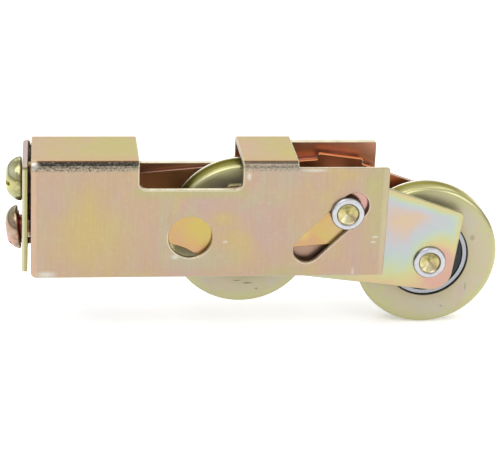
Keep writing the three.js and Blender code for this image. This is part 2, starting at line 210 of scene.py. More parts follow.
def smooth_loop(pts, ccw=True, sharp=35):
    """A polyline whose gentle corners are smooth; normals from the neighbouring edges."""
    if (area2(pts) > 0) != ccw:
        pts = pts[::-1]
    n = len(pts)
    nodes = []
    for i in range(n):
        a = unit(v2(pts[i - 1], pts[i]))
        b = unit(v2(pts[i], pts[(i + 1) % n]))
        na, nb = (a[1], -a[0]), (b[1], -b[0])
        if a[0] * b[0] + a[1] * b[1] > math.cos(math.radians(sharp)):
            m = unit((na[0] + nb[0], na[1] + nb[1]))
            nodes.append((pts[i][0], pts[i][1], m, m))
        else:
            nodes.append((pts[i][0], pts[i][1], na, nb))
    return nodes


def circle2d(x, y, r, n=64, hole=True):
    out = []
    for k in range(n):
        a = 2 * math.pi * k / n
        if hole:
            a = -a
        c = (math.cos(a), math.sin(a))
        nn = (-c[0], -c[1]) if hole else c
        out.append((x + r * c[0], y + r * c[1], nn, nn))
    return out


def slot2d(x0, y0, x1, y1, r, steps=20):
    a = math.atan2(y1 - y0, x1 - x0)
    out = []
    for (cx, cy), base in (((x0, y0), a - math.pi / 2), ((x1, y1), a + math.pi / 2)):
        for k in range(steps + 1):
            t = base - math.pi * k / steps
            c = (math.cos(t), math.sin(t))
            out.append((cx + r * c[0], cy + r * c[1], (-c[0], -c[1]), (-c[0], -c[1])))
    return out


def split_nodes(nodes, cuts_u, cuts_v):
    out = []
    n = len(nodes)
    for i in range(n):
        a, b = nodes[i], nodes[(i + 1) % n]
        out.append(a)
        ts = set()
        for axis, cuts in ((0, cuts_u), (1, cuts_v)):
            d = b[axis] - a[axis]
            if abs(d) < 1e-9:
                continue
            for c in cuts:
                t = (c - a[axis]) / d
                if 1e-6 < t < 1 - 1e-6:
                    ts.add(round(t, 9))
        for t in sorted(ts):
            m = unit((a[3][0] * (1 - t) + b[2][0] * t, a[3][1] * (1 - t) + b[2][1] * t))
            out.append((a[0] + (b[0] - a[0]) * t, a[1] + (b[1] - a[1]) * t, m, m))
    return out


def split_polys(polys, axis, cuts):
    for c in cuts:
        out = []
        for poly in polys:
            lo, hi = [], []
            n = len(poly)
            for i in range(n):
                a, b = poly[i], poly[(i + 1) % n]
                da, db = a[axis] - c, b[axis] - c
                if da <= 1e-9:
                    lo.append(a)
                if da >= -1e-9:
                    hi.append(a)
                if (da < -1e-9 and db > 1e-9) or (da > 1e-9 and db < -1e-9):
                    t = da / (da - db)
                    p = (a[0] + (b[0] - a[0]) * t, a[1] + (b[1] - a[1]) * t)
                    lo.append(p)
                    hi.append(p)
            for q in (lo, hi):
                if len(q) > 2 and abs(area2(q)) > 1e-9:
                    out.append(q)
        polys = out
    return polys


def sheet(mesh, loops, t0, t1, bevel, fold, cuts_u=(), cuts_v=(), nb=3, wall_mat=0):
    """A sheet-metal piece: outlines in (u, v) with rounded-over cut edges, folded into space by fold(u, v, t, normal)."""
    prof = []
    for k in range(nb + 1):
        a = math.pi / 2 * k / nb
        prof.append((bevel * (1 - math.sin(a)), t0 + bevel * (1 - math.cos(a)), math.sin(a), -math.cos(a)))
    for k in range(nb + 1):
        a = math.pi / 2 * k / nb
        prof.append((bevel * (1 - math.cos(a)), t1 - bevel + bevel * math.sin(a), math.cos(a), math.sin(a)))
    loops = [split_nodes(lp, cuts_u, cuts_v) for lp in loops]

    def inset(node, d):
        a, b = node[2], node[3]
        k = 1 + a[0] * b[0] + a[1] * b[1]
        m = ((a[0] + b[0]) / k, (a[1] + b[1]) / k)
        return (node[0] - m[0] * d, node[1] - m[1] * d)

    for lp in loops:
        n = len(lp)
        for i in range(n):
            a, b = lp[i], lp[(i + 1) % n]
            if math.hypot(b[0] - a[0], b[1] - a[1]) < 1e-7:
                continue
            for j in range(len(prof) - 1):
                p, q = prof[j], prof[j + 1]
                pts, ns = [], []
                for node, nn, s in ((a, a[3], p), (b, b[2], p), (b, b[2], q), (a, a[3], q)):
                    x, y = inset(node, s[0])
                    pos, nor = fold(x, y, s[1], (nn[0] * s[2], nn[1] * s[2], s[3]))
                    pts.append(pos)
                    ns.append(nor)
                mesh.face(pts, ns, wall_mat)
    caps = [[inset(node, bevel) for node in lp] for lp in loops]
    flat = [p for lp in caps for p in lp]
    tris = tessellate_polygon([[Vector((x, y, 0)) for x, y in lp] for lp in caps])
    polys = [[flat[i] for i in tri] for tri in tris]
    polys = split_polys(polys, 1, cuts_v)
    polys = split_polys(polys, 0, cuts_u)
    for t, s in ((t0, -1), (t1, 1)):
        for poly in polys:
            pts, ns = [], []
            for x, y in poly:
                pos, nor = fold(x, y, t, (0, 0, s))
                pts.append(pos)
                ns.append(nor)
            mesh.face(pts, ns)


def lathe(mesh, nodes, seg=128, axis="Y", phase=0.0, mat=0, wobble=None):
    """Turns a closed (radius, height) outline round the axis."""
    n = len(nodes)
    ring = [(math.cos(2 * math.pi * k / seg + phase), math.sin(2 * math.pi * k / seg + phase)) for k in range(seg)]
    ring.append(ring[0])

    def at(r, h, c):
        if axis == "Y":
            return Vector((r * c[0], h, r * c[1]))
        return Vector((h, r * c[0], r * c[1]))

    for i in range(n):
        a, b = nodes[i], nodes[(i + 1) % n]
        if abs(a[0]) < 1e-6 and abs(b[0]) < 1e-6:
            continue
        if math.hypot(b[0] - a[0], b[1] - a[1]) < 1e-7:
            continue
        for k in range(seg):
            c0, c1 = ring[k], ring[k + 1]
            mesh.face(
                [at(a[0], a[1], c0), at(b[0], b[1], c0), at(b[0], b[1], c1), at(a[0], a[1], c1)],
                [at(a[3][0], a[3][1], c0), at(b[2][0], b[2][1], c0), at(b[2][0], b[2][1], c1), at(a[3][0], a[3][1], c1)],
                mat,
                [(a[0], a[1]), (b[0], b[1]), (b[0], b[1]), (a[0], a[1])],
            )


# ------------------------------------------------------------------ node materials
class Nodes:
    def __init__(self, name):
        self.m = bpy.data.materials.new(name)
        self.m.use_nodes = True
        self.t = self.m.node_tree
        self.t.nodes.clear()
        self.out = self.t.nodes.new("ShaderNodeOutputMaterial")
        self._mm = None

    def put(self, sock, x):
        if isinstance(x, bpy.types.NodeSocket):
            self.t.links.new(x, sock)
        elif isinstance(x, (int, float)):
            if sock.type == "RGBA":
                sock.default_value = (x, x, x, 1)
            elif sock.type == "VECTOR":
                sock.default_value = (x, x, x)
            else:
                sock.default_value = x
        else:
            x = tuple(x)
            sock.default_value = x + (1,) if sock.type == "RGBA" and len(x) == 3 else x

    def math(self, op, a, b=None, c=None, clamp=False):
        n = self.t.nodes.new("ShaderNodeMath")
        n.operation = op
        n.use_clamp = clamp
        self.put(n.inputs[0], a)
        if b is not None:
            self.put(n.inputs[1], b)
        if c is not None:
            self.put(n.inputs[2], c)
        return n.outputs[0]

    def vmath(self, op, a, b=None, c=None):
        n = self.t.nodes.new("ShaderNodeVectorMath")
        n.operation = op
        self.put(n.inputs[0], a)
        if b is not None:
            self.put(n.inputs[1], b)
        if c is not None:
            self.put(n.inputs[2], c)
        return n.outputs["Value"] if op in ("LENGTH", "DISTANCE", "DOT_PRODUCT") else n.outputs[0]

    def mm(self):
        """Position in the housing's drawing frame, in mm."""
        if self._mm is None:
            tc = self.t.nodes.new("ShaderNodeTexCoord")
            self._mm = self.vmath("MULTIPLY_ADD", tc.outputs["Object"], (1000, 1000, 1000), tuple(-OFF))
        return self._mm

    def xyz(self, v):
        n = self.t.nodes.new("ShaderNodeSeparateXYZ")
        self.put(n.inputs[0], v)
        return n.outputs[0], n.outputs[1], n.outputs[2]

    def scale(self, v, s):
        return self.vmath("MULTIPLY", v, s)

    def noise(self, v, scale=1.0, detail=2.0, rough=0.5, distort=0.0, color=False):
        n = self.t.nodes.new("ShaderNodeTexNoise")
        self.put(n.inputs["Vector"], v)
        n.inputs["Scale"].default_value = scale
        n.inputs["Detail"].default_value = detail
        n.inputs["Roughness"].default_value = rough
        n.inputs["Distortion"].default_value = distort
        return n.outputs["Color"] if color else n.outputs[0]

    def voronoi(self, v, scale=1.0, feature="F1"):
        n = self.t.nodes.new("ShaderNodeTexVoronoi")
        n.feature = feature
        self.put(n.inputs["Vector"], v)
        n.inputs["Scale"].default_value = scale
        return n.outputs["Distance"]

    def ramp(self, fac, stops, interp="EASE"):
        n = self.t.nodes.new("ShaderNodeValToRGB")
        n.color_ramp.interpolation = interp
        el = n.color_ramp.elements
        while len(el) < len(stops):
            el.new(0.5)
        for e, (p, c) in zip(el, stops):
            e.position = p
            e.color = (c, c, c, 1) if isinstance(c, (int, float)) else tuple(c) + (1,)
        self.put(n.inputs[0], fac)
        return n.outputs[0]

    def mix(self, fac, a, b, blend="MIX"):
        n = self.t.nodes.new("ShaderNodeMix")
        n.data_type = "RGBA"
        n.blend_type = blend
        self.put(n.inputs[0], fac)
        self.put(n.inputs[6], a)
        self.put(n.inputs[7], b)
        return n.outputs[2]

    def lerp(self, fac, a, b):
        n = self.t.nodes.new("ShaderNodeMix")
        n.data_type = "FLOAT"
        self.put(n.inputs[0], fac)
        self.put(n.inputs[2], a)
        self.put(n.inputs[3], b)
        return n.outputs[0]

    def step(self, x, lo, hi, a=0.0, b=1.0):
        n = self.t.nodes.new("ShaderNodeMapRange")
        n.interpolation_type = "SMOOTHSTEP"
        self.put(n.inputs[0], x)
        n.inputs[1].default_value = lo
        n.inputs[2].default_value = hi
        n.inputs[3].default_value = a
        n.inputs[4].default_value = b
        return n.outputs[0]

    def band(self, x, lo, hi, soft):
        return self.math("MULTIPLY", self.step(x, lo - soft, lo + soft), self.step(x, hi - soft, hi + soft, 1.0, 0.0))

    def blob(self, v, centre, radii):
        """1 at the centre, falling to 0 outside the radii."""
        d = self.vmath("LENGTH", self.vmath("DIVIDE", self.vmath("SUBTRACT", v, centre), radii))
        return self.step(d, 0.0, 1.0, 1.0, 0.0)

    def attr(self, name):
        n = self.t.nodes.new("ShaderNodeAttribute")
        n.attribute_name = name
        return n.outputs["Fac"]

    def geo(self, what):
        if not hasattr(self, "_geo"):
            self._geo = self.t.nodes.new("ShaderNodeNewGeometry")
        return self._geo.outputs[what]

    def bump(self, height, strength=0.3, distance=0.00002, normal=None):
        n = self.t.nodes.new("ShaderNodeBump")
        n.inputs["Strength"].default_value = strength
        n.inputs["Distance"].default_value = distance
        self.put(n.inputs["Height"], height)
        if normal is not None:
            self.put(n.inputs["Normal"], normal)
        return n.outputs[0]

    def shade(self, color, rough, metal=1.0, normal=None, aniso=None, coat=None, spec=None, sheen=None):
        b = self.t.nodes.new("ShaderNodeBsdfPrincipled")
        self.put(b.inputs["Base Color"], color)
        self.put(b.inputs["Roughness"], rough)
        self.put(b.inputs["Metallic"], metal)
        if normal is not None:
            self.put(b.inputs["Normal"], normal)
        if aniso is not None:
            self.put(b.inputs["Anisotropic"], aniso)
        if coat is not None:
            self.put(b.inputs["Coat Weight"], coat)
        if spec is not None:
            self.put(b.inputs["Specular IOR Level"], spec)
        self.t.links.new(b.outputs[0], self.out.inputs["Surface"])
        return self.m


def srgb(r, g, b):
    return tuple((x / 255 / 12.92) if x / 255 <= 0.04045 else ((x / 255 + 0.055) / 1.055) ** 2.4 for x in (r, g, b))


def tone(r, g, b, k=0.72):
    """A film colour as it should read under this light, taken back to its base reflectance."""
    return tuple(c * k * w for c, w in zip(srgb(r, g, b), (1.0, 1.05, 1.06)))


TAN = tone(204, 174, 144)
PINK = tone(205, 170, 152)
LILACPINK = tone(201, 170, 160)
PEACH = tone(206, 176, 138)
YELLOW = tone(208, 185, 118)
OLIVE = tone(192, 184, 132)
GREEN = tone(192, 184, 152)
GREY = tone(198, 180, 158)
SILVER = tone(214, 210, 200)
DARK = srgb(70, 70, 62)


def film(g, v, size, seed, stops, streak=(1, 1, 1), warp=0.6):
    """The uneven interference colours of a yellow chromate film: soft patches, drawn out along streak."""
    p = g.vmath("ADD", v, seed)
    q = g.scale(p, tuple(s / size for s in streak))
    a = g.noise(q, 1.0, 3.0, 0.55, warp)
    f = g.math("ADD", g.math("MULTIPLY", g.math("SUBTRACT", a, 0.5), 2.6), 0.5, clamp=True)
    return g.ramp(f, stops, "B_SPLINE")


def micro(g, v, streak, strength=0.12, scale=3.0):
    a = g.noise(g.scale(v, streak), scale, 4.0, 0.65)
    b = g.noise(v, 0.55, 2.0, 0.5)
    h = g.math("ADD", g.math("MULTIPLY", a, 0.35), g.math("MULTIPLY", b, 1.2))
    return g.bump(h, strength, 0.00006)


SLOT_X0 = (PIV.x - OFF.x) - 14.35 * math.sqrt(0.5)
SLOT_Z0 = (PIV.z - OFF.z) - 14.35 * math.sqrt(0.5)


def zinc_housing():
    g = Nodes("zinc_housing")
    v = g.mm()
    x, y, z = g.xyz(v)
    nx, ny, nz = g.xyz(g.geo("Normal"))
    soft = film(g, v, 13.0, (3.1, 7.7, 1.9), [(0.0, YELLOW), (0.22, PEACH), (0.42, TAN), (0.60, PINK), (0.78, LILACPINK), (1.0, GREEN)], (1, 1, 0.7), 0.8)
    streak = film(g, v, 4.2, (11.0, 2.0, 5.0), [(0.0, PEACH), (0.35, TAN), (0.6, PINK), (1.0, GREEN)], (1, 1, 0.22), 0.2)
    col = g.mix(0.38, soft, streak)
    # broad fields: yellow towards the screw end, greenish where the sheet was cut, pinker between
    for c, rad, k, tint in (
        ((15.0, 0, 12.0), (17, 30, 17), 0.85, tone(208, 182, 122)), ((25.2, 0, 14), (3.2, 30, 9), 0.55, PEACH),
        ((33.6, 0, 14), (2.6, 30, 16), 0.60, GREEN), ((49.5, 0, 16.0), (5.5, 30, 3.2), 0.70, YELLOW),
        ((43.5, 0, 19.5), (6.5, 30, 4.5), 0.60, LILACPINK), ((60, 0, 12), (6, 30, 10), 0.40, LILACPINK),
        ((5.5, 0, 20), (6, 30, 9), 0.45, LILACPINK), ((87.5, 0, 24.5), (4.2, 30, 6.0), 0.75, OLIVE),
        ((66, 0, 22), (7, 30, 6), 0.45, PEACH), ((76.5, 0, 3.5), (7, 30, 3.5), 0.45, PINK),
        ((9, 0, 2.5), (7, 30, 4), 0.40, PINK), ((43.0, 0, 5), (15, 30, 5.5), 0.75, GREEN),
    ):
        col = g.mix(g.math("MULTIPLY", g.blob(v, c, rad), k), col, tint)
    warp = g.math("MULTIPLY", g.math("SUBTRACT", g.noise(v, 0.5, 2.0), 0.5), 1.6)
    zw = g.math("ADD", z, warp)
    under = g.math("MULTIPLY", g.band(x, 25.5, 55.0, 1.5), g.band(zw, 21.9, 24.5, 0.9))
    col = g.mix(g.math("MULTIPLY", under, 0.70), col, OLIVE)
    xw = g.math("ADD", x, warp)
    right = g.math("MULTIPLY", g.step(xw, 82.5, 90.0), g.step(z, 3, 14))
    col = g.mix(g.math("MULTIPLY", right, 0.60), col, OLIVE)
    low = g.math("MULTIPLY", g.band(xw, 60, 72, 3.0), g.step(z, 3.6, 1.2))
    col = g.mix(g.math("MULTIPLY", low, 0.55), col, OLIVE)
    for c, rad in (((40.5, 0, 11.0), 8.0), ((70.0, 0, 7.0), 6.5)):
        col = g.mix(g.math("MULTIPLY", g.blob(v, c, (rad, 30, rad)), 0.30), col, GREEN)
    # the rubbed band down the screw-end edge
    endb = g.band(x, -0.2, 1.25, 0.30)
    col = g.mix(g.math("MULTIPLY", endb, 0.75), col, tone(222, 186, 160))
    endr = g.band(x, LENGTH - 1.2, LENGTH + 0.9, 0.25)
    col = g.mix(g.math("MULTIPLY", endr, 0.30), col, tone(222, 208, 180))
    # faint vertical drain lines left by the dip
    lines = g.noise(g.scale(v, (2.6, 2.6, 0.10)), 1.0, 4.0, 0.65)
    col = g.mix(g.step(lines, 0.35, 0.68, 0.0, 0.16), col, tone(176, 146, 112))
    blot = g.noise(v, 0.8, 4.0, 0.65)
    col = g.mix(g.step(blot, 0.50, 0.72, 0.0, 0.20), col, tone(222, 202, 176))
    # the two top tabs
    top = g.step(nz, 0.75, 0.95)
    tabs = film(g, v, 10.0, (1.0, 4.0, 9.0), [(0.0, srgb(176, 168, 98)), (0.40, srgb(182, 166, 108)), (0.7, srgb(184, 160, 118)), (1.0, srgb(184, 156, 124))], (0.8, 0.8, 1), 0.4)
    tabs = g.mix(g.math("MULTIPLY", g.blob(v, (55.0, 12, 31), (7.5, 16, 8)), 0.75), tabs, srgb(190, 156, 134))
    tabs = g.mix(g.math("MULTIPLY", g.blob(v, (65.5, 6, 31), (4.0, 9, 8)), 0.60), tabs, srgb(184, 170, 92))
    tabs = g.mix(g.math("MULTIPLY", g.blob(v, (1.0, 10, 31), (4.5, 16, 8)), 0.60), tabs, srgb(184, 154, 134))
    tabs = g.mix(g.math("MULTIPLY", g.step(y, 6.5, 2.0), 0.45), tabs, srgb(190, 150, 112))
    tabs = g.mix(g.step(g.noise(v, 1.1, 4.0, 0.7), 0.55, 0.75, 0.0, 0.25), tabs, srgb(202, 186, 150))
    col = g.mix(g.math("MULTIPLY", top, 0.94), col, tabs)
    # inside faces of the rear wall: painted bounce light, brighter orange and pink than the outer film, standing in for
    # light reflected inside the channel; browner towards the screw end, pinker at the far end
    inside = g.math("MULTIPLY", g.step(y, 20.6, 21.4), g.step(ny, -0.5, -0.9))
    rear = film(g, v, 9.0, (7.0, 2.0, 2.0), [(0.0, srgb(232, 134, 82)), (0.5, srgb(240, 148, 98)), (1.0, srgb(236, 150, 128))], (1, 1, 1), 0.3)
    rear = g.mix(g.step(x, 58, 50), rear, srgb(176, 118, 92))
    rear = g.mix(g.math("MULTIPLY", g.step(x, 82, 90), 0.6), rear, srgb(214, 128, 118))
    col = g.mix(g.math("MULTIPLY", inside, 0.9), col, rear)
    # scuffs where the bends and edges rubbed
    speck = g.step(g.noise(g.scale(v, (1.6, 1.6, 3.0)), 1.4, 5.0, 0.75), 0.47, 0.60)
    fine = g.step(g.noise(g.scale(v, (1.0, 1.0, 1.5)), 1.9, 5.0, 0.85), 0.50, 0.56)
    front = g.step(y, 1.95, 1.6, 0.0, 1.0)
    ragged = g.math("ADD", x, g.math("MULTIPLY", g.math("SUBTRACT", g.noise(v, 1.6, 4.0, 0.7), 0.5), 2.6))
    xs = g.math("ADD", g.band(ragged, 1.5, 29.5, 0.45), g.math("MULTIPLY", g.band(x, 53.4, 67.9, 0.25), 0.75), clamp=True)
    wob = g.math("ADD", z, g.math("MULTIPLY", g.math("SUBTRACT", g.noise(v, 1.3, 4.0, 0.7), 0.5), 0.45))
    lowest = g.math("MULTIPLY", g.step(x, 40, 41), 0.36)
    shade = g.math("MULTIPLY", g.math("MULTIPLY", xs, g.band(g.math("SUBTRACT", wob, lowest), 30.42, 31.28, 0.12)), front)
    shade = g.math("MULTIPLY", shade, g.step(z, 31.30, 31.22))
    brown = g.math("MULTIPLY", g.math("MULTIPLY", xs, g.band(z, 31.12, 31.36, 0.05)), front)
    wear = g.math("MULTIPLY", g.math("MULTIPLY", g.band(x, 0.3, 68.5, 0.6), g.band(wob, 28.95, 30.75, 0.30)), front)
    left = g.lerp(g.step(x, 18, 30), 1.0, 0.55)
    light = g.blob(g.vmath("ADD", v, g.scale(g.noise(v, 1.2, 3.0, color=True), (1.2, 0.0, 1.2))), (1.3, 0.9, 31.0), (1.9, 4.0, 1.5))
    col = g.mix(g.math("MULTIPLY", wear, 0.35), col, GREY)
    col = g.mix(g.math("MULTIPLY", g.math("MULTIPLY", wear, fine), 0.90), col, srgb(178, 174, 158))
    spots = g.step(g.noise(g.vmath("ADD", g.scale(v, (1.0, 1.0, 1.5)), (31.0, 0.0, 17.0)), 1.5, 5.0, 0.85), 0.48, 0.55)
    col = g.mix(g.math("MULTIPLY", g.math("MULTIPLY", wear, spots), g.math("MULTIPLY", left, 0.96)), col, srgb(74, 70, 58))
    col = g.mix(g.math("MULTIPLY", shade, 0.97), col, srgb(46, 46, 40))
    col = g.mix(g.math("MULTIPLY", brown, 0.90), col, srgb(92, 56, 42))
    grit = g.step(g.noise(g.scale(v, (1.0, 1.0, 1.4)), 1.6, 5.0, 0.85), 0.52, 0.60)
    chips = g.math("MULTIPLY", shade, grit)
    col = g.mix(g.math("MULTIPLY", chips, 0.55), col, srgb(150, 148, 138))
    col = g.mix(g.math("MULTIPLY", light, 0.80), col, srgb(206, 210, 204))
    # painted highlights: pale rims round the window and along the lower edges of the hole and slot on the front wall,
    # where their edges catch the light
    skin = g.step(y, 0.5, 0.2)
    qx = g.math("SUBTRACT", g.math("ABSOLUTE", g.math("SUBTRACT", x, 40.45)), 13.15 - 1.9)
    qz = g.math("SUBTRACT", 24.0 + 1.9, z)
    cx, cz = g.math("MAXIMUM", qx, 0.0), g.math("MAXIMUM", qz, 0.0)
    wd = g.math("SUBTRACT", g.math("SQRT", g.math("ADD", g.math("MULTIPLY", cx, cx), g.math("MULTIPLY", cz, cz))), 1.9)
    window_rim_highlight = g.math("MULTIPLY", g.band(wd, -0.3, 0.42, 0.10), g.step(z, 31.0, 30.3))
    hx, hz = g.math("SUBTRACT", x, 40.5), g.math("SUBTRACT", z, 11.0)
    hr = g.math("SQRT", g.math("ADD", g.math("MULTIPLY", hx, hx), g.math("MULTIPLY", hz, hz)))
    lowl = g.step(g.math("ADD", g.math("MULTIPLY", hx, 0.45), hz), 1.0, -2.5)
    hole_rim_highlight = g.math("MULTIPLY", g.band(hr, 5.4, 6.05, 0.10), lowl)
    sx, sz = g.math("SUBTRACT", x, SLOT_X0), g.math("SUBTRACT", z, SLOT_Z0)
    su = g.math("MULTIPLY", g.math("ADD", sx, sz), math.sqrt(0.5))
    sw = g.math("MULTIPLY", g.math("SUBTRACT", sx, sz), math.sqrt(0.5))
    past = g.math("SUBTRACT", su, g.math("MINIMUM", g.math("MAXIMUM", su, 0.0), 17.07))
    sd = g.math("SQRT", g.math("ADD", g.math("MULTIPLY", past, past), g.math("MULTIPLY", sw, sw)))
    slot_rim_highlight = g.math("MULTIPLY", g.band(sd, 3.4, 3.98, 0.10), g.step(g.math("SUBTRACT", sw, g.math("MULTIPLY", g.step(su, 1.5, -1.5), 0.0)), -2.4, 0.6))
    pale = g.math("MULTIPLY", g.math("ADD", g.math("MULTIPLY", window_rim_highlight, 0.9), g.math("ADD", hole_rim_highlight, slot_rim_highlight, clamp=True), clamp=True), skin)
    pale = g.math("MULTIPLY", pale, g.lerp(speck, 0.70, 0.95))
    col = g.mix(pale, col, g.mix(g.step(x, 60, 64), tone(226, 222, 190, 0.78), tone(232, 206, 186, 0.78)))
    # painted shade: the flange's inner face, in the gap facing the housing's end, is coloured near-black brown
    turned = g.step(g.math("SUBTRACT", nx, ny), 0.2, 0.5)
    inner = g.math("MULTIPLY", g.step(x, -0.05, -0.3), g.math("MULTIPLY", turned, g.step(y, 1.2, 1.6)))
    col = g.mix(g.math("MULTIPLY", inner, 0.96), col, srgb(58, 38, 26))
    # painted highlight: a pale patch on the inner face of the flange's bend
    flange_bend_highlight = g.blob(v, (-0.8, 21.0, 27.0), (3.0, 5.0, 3.6))
    col = g.mix(g.math("MULTIPLY", g.math("MULTIPLY", flange_bend_highlight, turned), g.step(x, 0.3, 0.0)), col, srgb(240, 244, 232))
    # small bright rubs: lower corner, below the hole, by the outboard end
    for c, rad, k in (((3.6, 0, 0.9), (3.6, 30, 1.5), 0.9), ((36.6, 0, 5.6), (1.5, 30, 1.0), 0.9), ((49.5, 0, 9.7), (1.0, 30, 0.5), 0.8),
                      ((88.7, 0, 10.8), (1.3, 30, 0.5), 0.9), ((88.3, 0, 9.4), (1.1, 30, 0.45), 0.9), ((83.2, 0, 1.0), (0.5, 30, 1.9), 0.6),
                      ((72, 0, 29.2), (5, 30, 0.7), 0.8), ((55.2, 0, 27.6), (0.9, 30, 1.6), 0.9)):
        b = g.math("MULTIPLY", g.blob(v, c, rad), g.step(speck, 0.0, 0.8, 0.45, 1.0))
        col = g.mix(g.math("MULTIPLY", b, k), col, srgb(206, 212, 206))
    rough = g.lerp(g.noise(g.scale(v, (0.4, 0.4, 0.15)), 1.0, 3.0), 0.30, 0.44)
    rough = g.lerp(g.math("MAXIMUM", shade, brown), rough, 0.60)
    return g.shade(col, rough, 1.0, micro(g, v, (0.5, 0.5, 2.0), 0.13))


def zinc_cut(name, dull, bright, metal=1.0):
    """Sheared edges: a thinner, paler film, with a painted highlight (a brighter colour) where the edge faces up."""
    g = Nodes(name)
    v = g.mm()
    x, y, z = g.xyz(v)
    nx, ny, nz = g.xyz(g.geo("Normal"))
    a = film(g, v, 5.0, (2.0, 5.0, 7.0), [(0.0, tuple(c * 0.86 for c in dull)), (0.5, dull), (1.0, tuple(c * 1.12 for c in dull))], (1, 1, 1), 0.3)
    b = film(g, v, 4.0, (6.0, 1.0, 3.0), [(0.0, tuple(c * 0.80 for c in bright)), (0.5, bright), (1.0, tuple(c * 1.08 for c in bright))], (1, 1, 1), 0.3)
    # painted highlight: the brighter colour is blended in where the edge faces up
    up = g.step(g.math("ADD", nz, g.math("MULTIPLY", g.math("SUBTRACT", g.noise(v, 1.2, 3.0), 0.5), 0.5)), 0.15, 0.70)
    col = g.mix(up, a, b)
    grit = g.step(g.noise(v, 1.7, 5.0, 0.75), 0.52, 0.70)
    col = g.mix(g.math("MULTIPLY", grit, 0.45), col, srgb(132, 116, 90))
    return g, v, (x, y, z), nz, col


FLANGE_Z = 30.15


def zinc_cut_housing():
    g, v, (x, y, z), nz, col = zinc_cut("zinc_cut_housing", tone(206, 178, 154), tone(236, 222, 192, 0.80))
    side = g.step(x, 0.6, 0.1)
    col = g.mix(g.math("MULTIPLY", side, 0.6), col, tone(220, 186, 164))
    # painted highlight: the downward-facing cut edges along the walls' lower edges are paler
    bottom_edge_highlight = g.math("MULTIPLY", g.step(nz, -0.1, -0.4), g.step(x, 0.8, 2.0))
    col = g.mix(g.math("MULTIPLY", bottom_edge_highlight, 0.8), col, tone(214, 208, 180))
    # the flange's free edge: a pale rolled-over half and a green sheared half, pinkish grey on top
    flange = g.step(x, -0.55, -0.75)
    from_outer = g.math("ADD", g.math("ADD", x, 2.2), g.math("MULTIPLY", g.math("SUBTRACT", FLANGE_Z, z), 0.0141))
    half = g.step(from_outer, 0.50, 0.72)
    edge = g.mix(half, srgb(194, 188, 160), srgb(160, 156, 104))
    edge = g.mix(g.math("MULTIPLY", g.step(g.noise(g.scale(v, (3.0, 3.0, 0.4)), 1.0, 4.0, 0.7), 0.45, 0.7), 0.3), edge, srgb(188, 184, 136))
    # painted shade: a dark brown patch at the top corner of the flange's free edge
    edge = g.mix(g.math("MULTIPLY", g.blob(v, (-1.5, 1.0, 30.0), (3, 3, 1.3)), 0.8), edge, srgb(80, 64, 44))
    edge = g.mix(g.step(nz, 0.55, 0.85), edge, srgb(180, 162, 154))
    col = g.mix(flange, col, edge)
    # inner edges of the window and slot stay dull where they face sideways
    rough = g.lerp(g.noise(v, 0.9, 3.0), 0.32, 0.50)
    return g.shade(col, rough, 1.0, micro(g, v, (1.5, 1.5, 1.5), 0.18))


def zinc_cut_link():
    g, v, (x, y, z), nz, col = zinc_cut("zinc_cut_link", srgb(150, 116, 84), srgb(176, 134, 122))
    # painted shade: the downward-facing cut edges of the link are dark brown
    low = g.step(nz, -0.2, -0.7)
    col = g.mix(low, col, srgb(92, 60, 30))
    rough = g.lerp(g.noise(v, 0.9, 3.0), 0.34, 0.50)
    return g.shade(col, rough, 1.0, micro(g, v, (1.5, 1.5, 1.5), 0.18))


def zinc_cut_plate():
    g, v, (x, y, z), nz, col = zinc_cut("zinc_cut_plate", tone(196, 190, 152), tone(206, 198, 150))
    rear = g.math("MULTIPLY", g.step(y, 10, 12), g.step(nz, 0.1, 0.5))
    near = g.mix(g.step(x, 88, 92), srgb(236, 160, 104), srgb(204, 176, 160))
    col = g.mix(rear, col, near)
    rough = g.lerp(g.noise(v, 0.9, 3.0), 0.32, 0.48)
    return g.shade(col, rough, 1.0, micro(g, v, (1.5, 1.5, 1.5), 0.18))


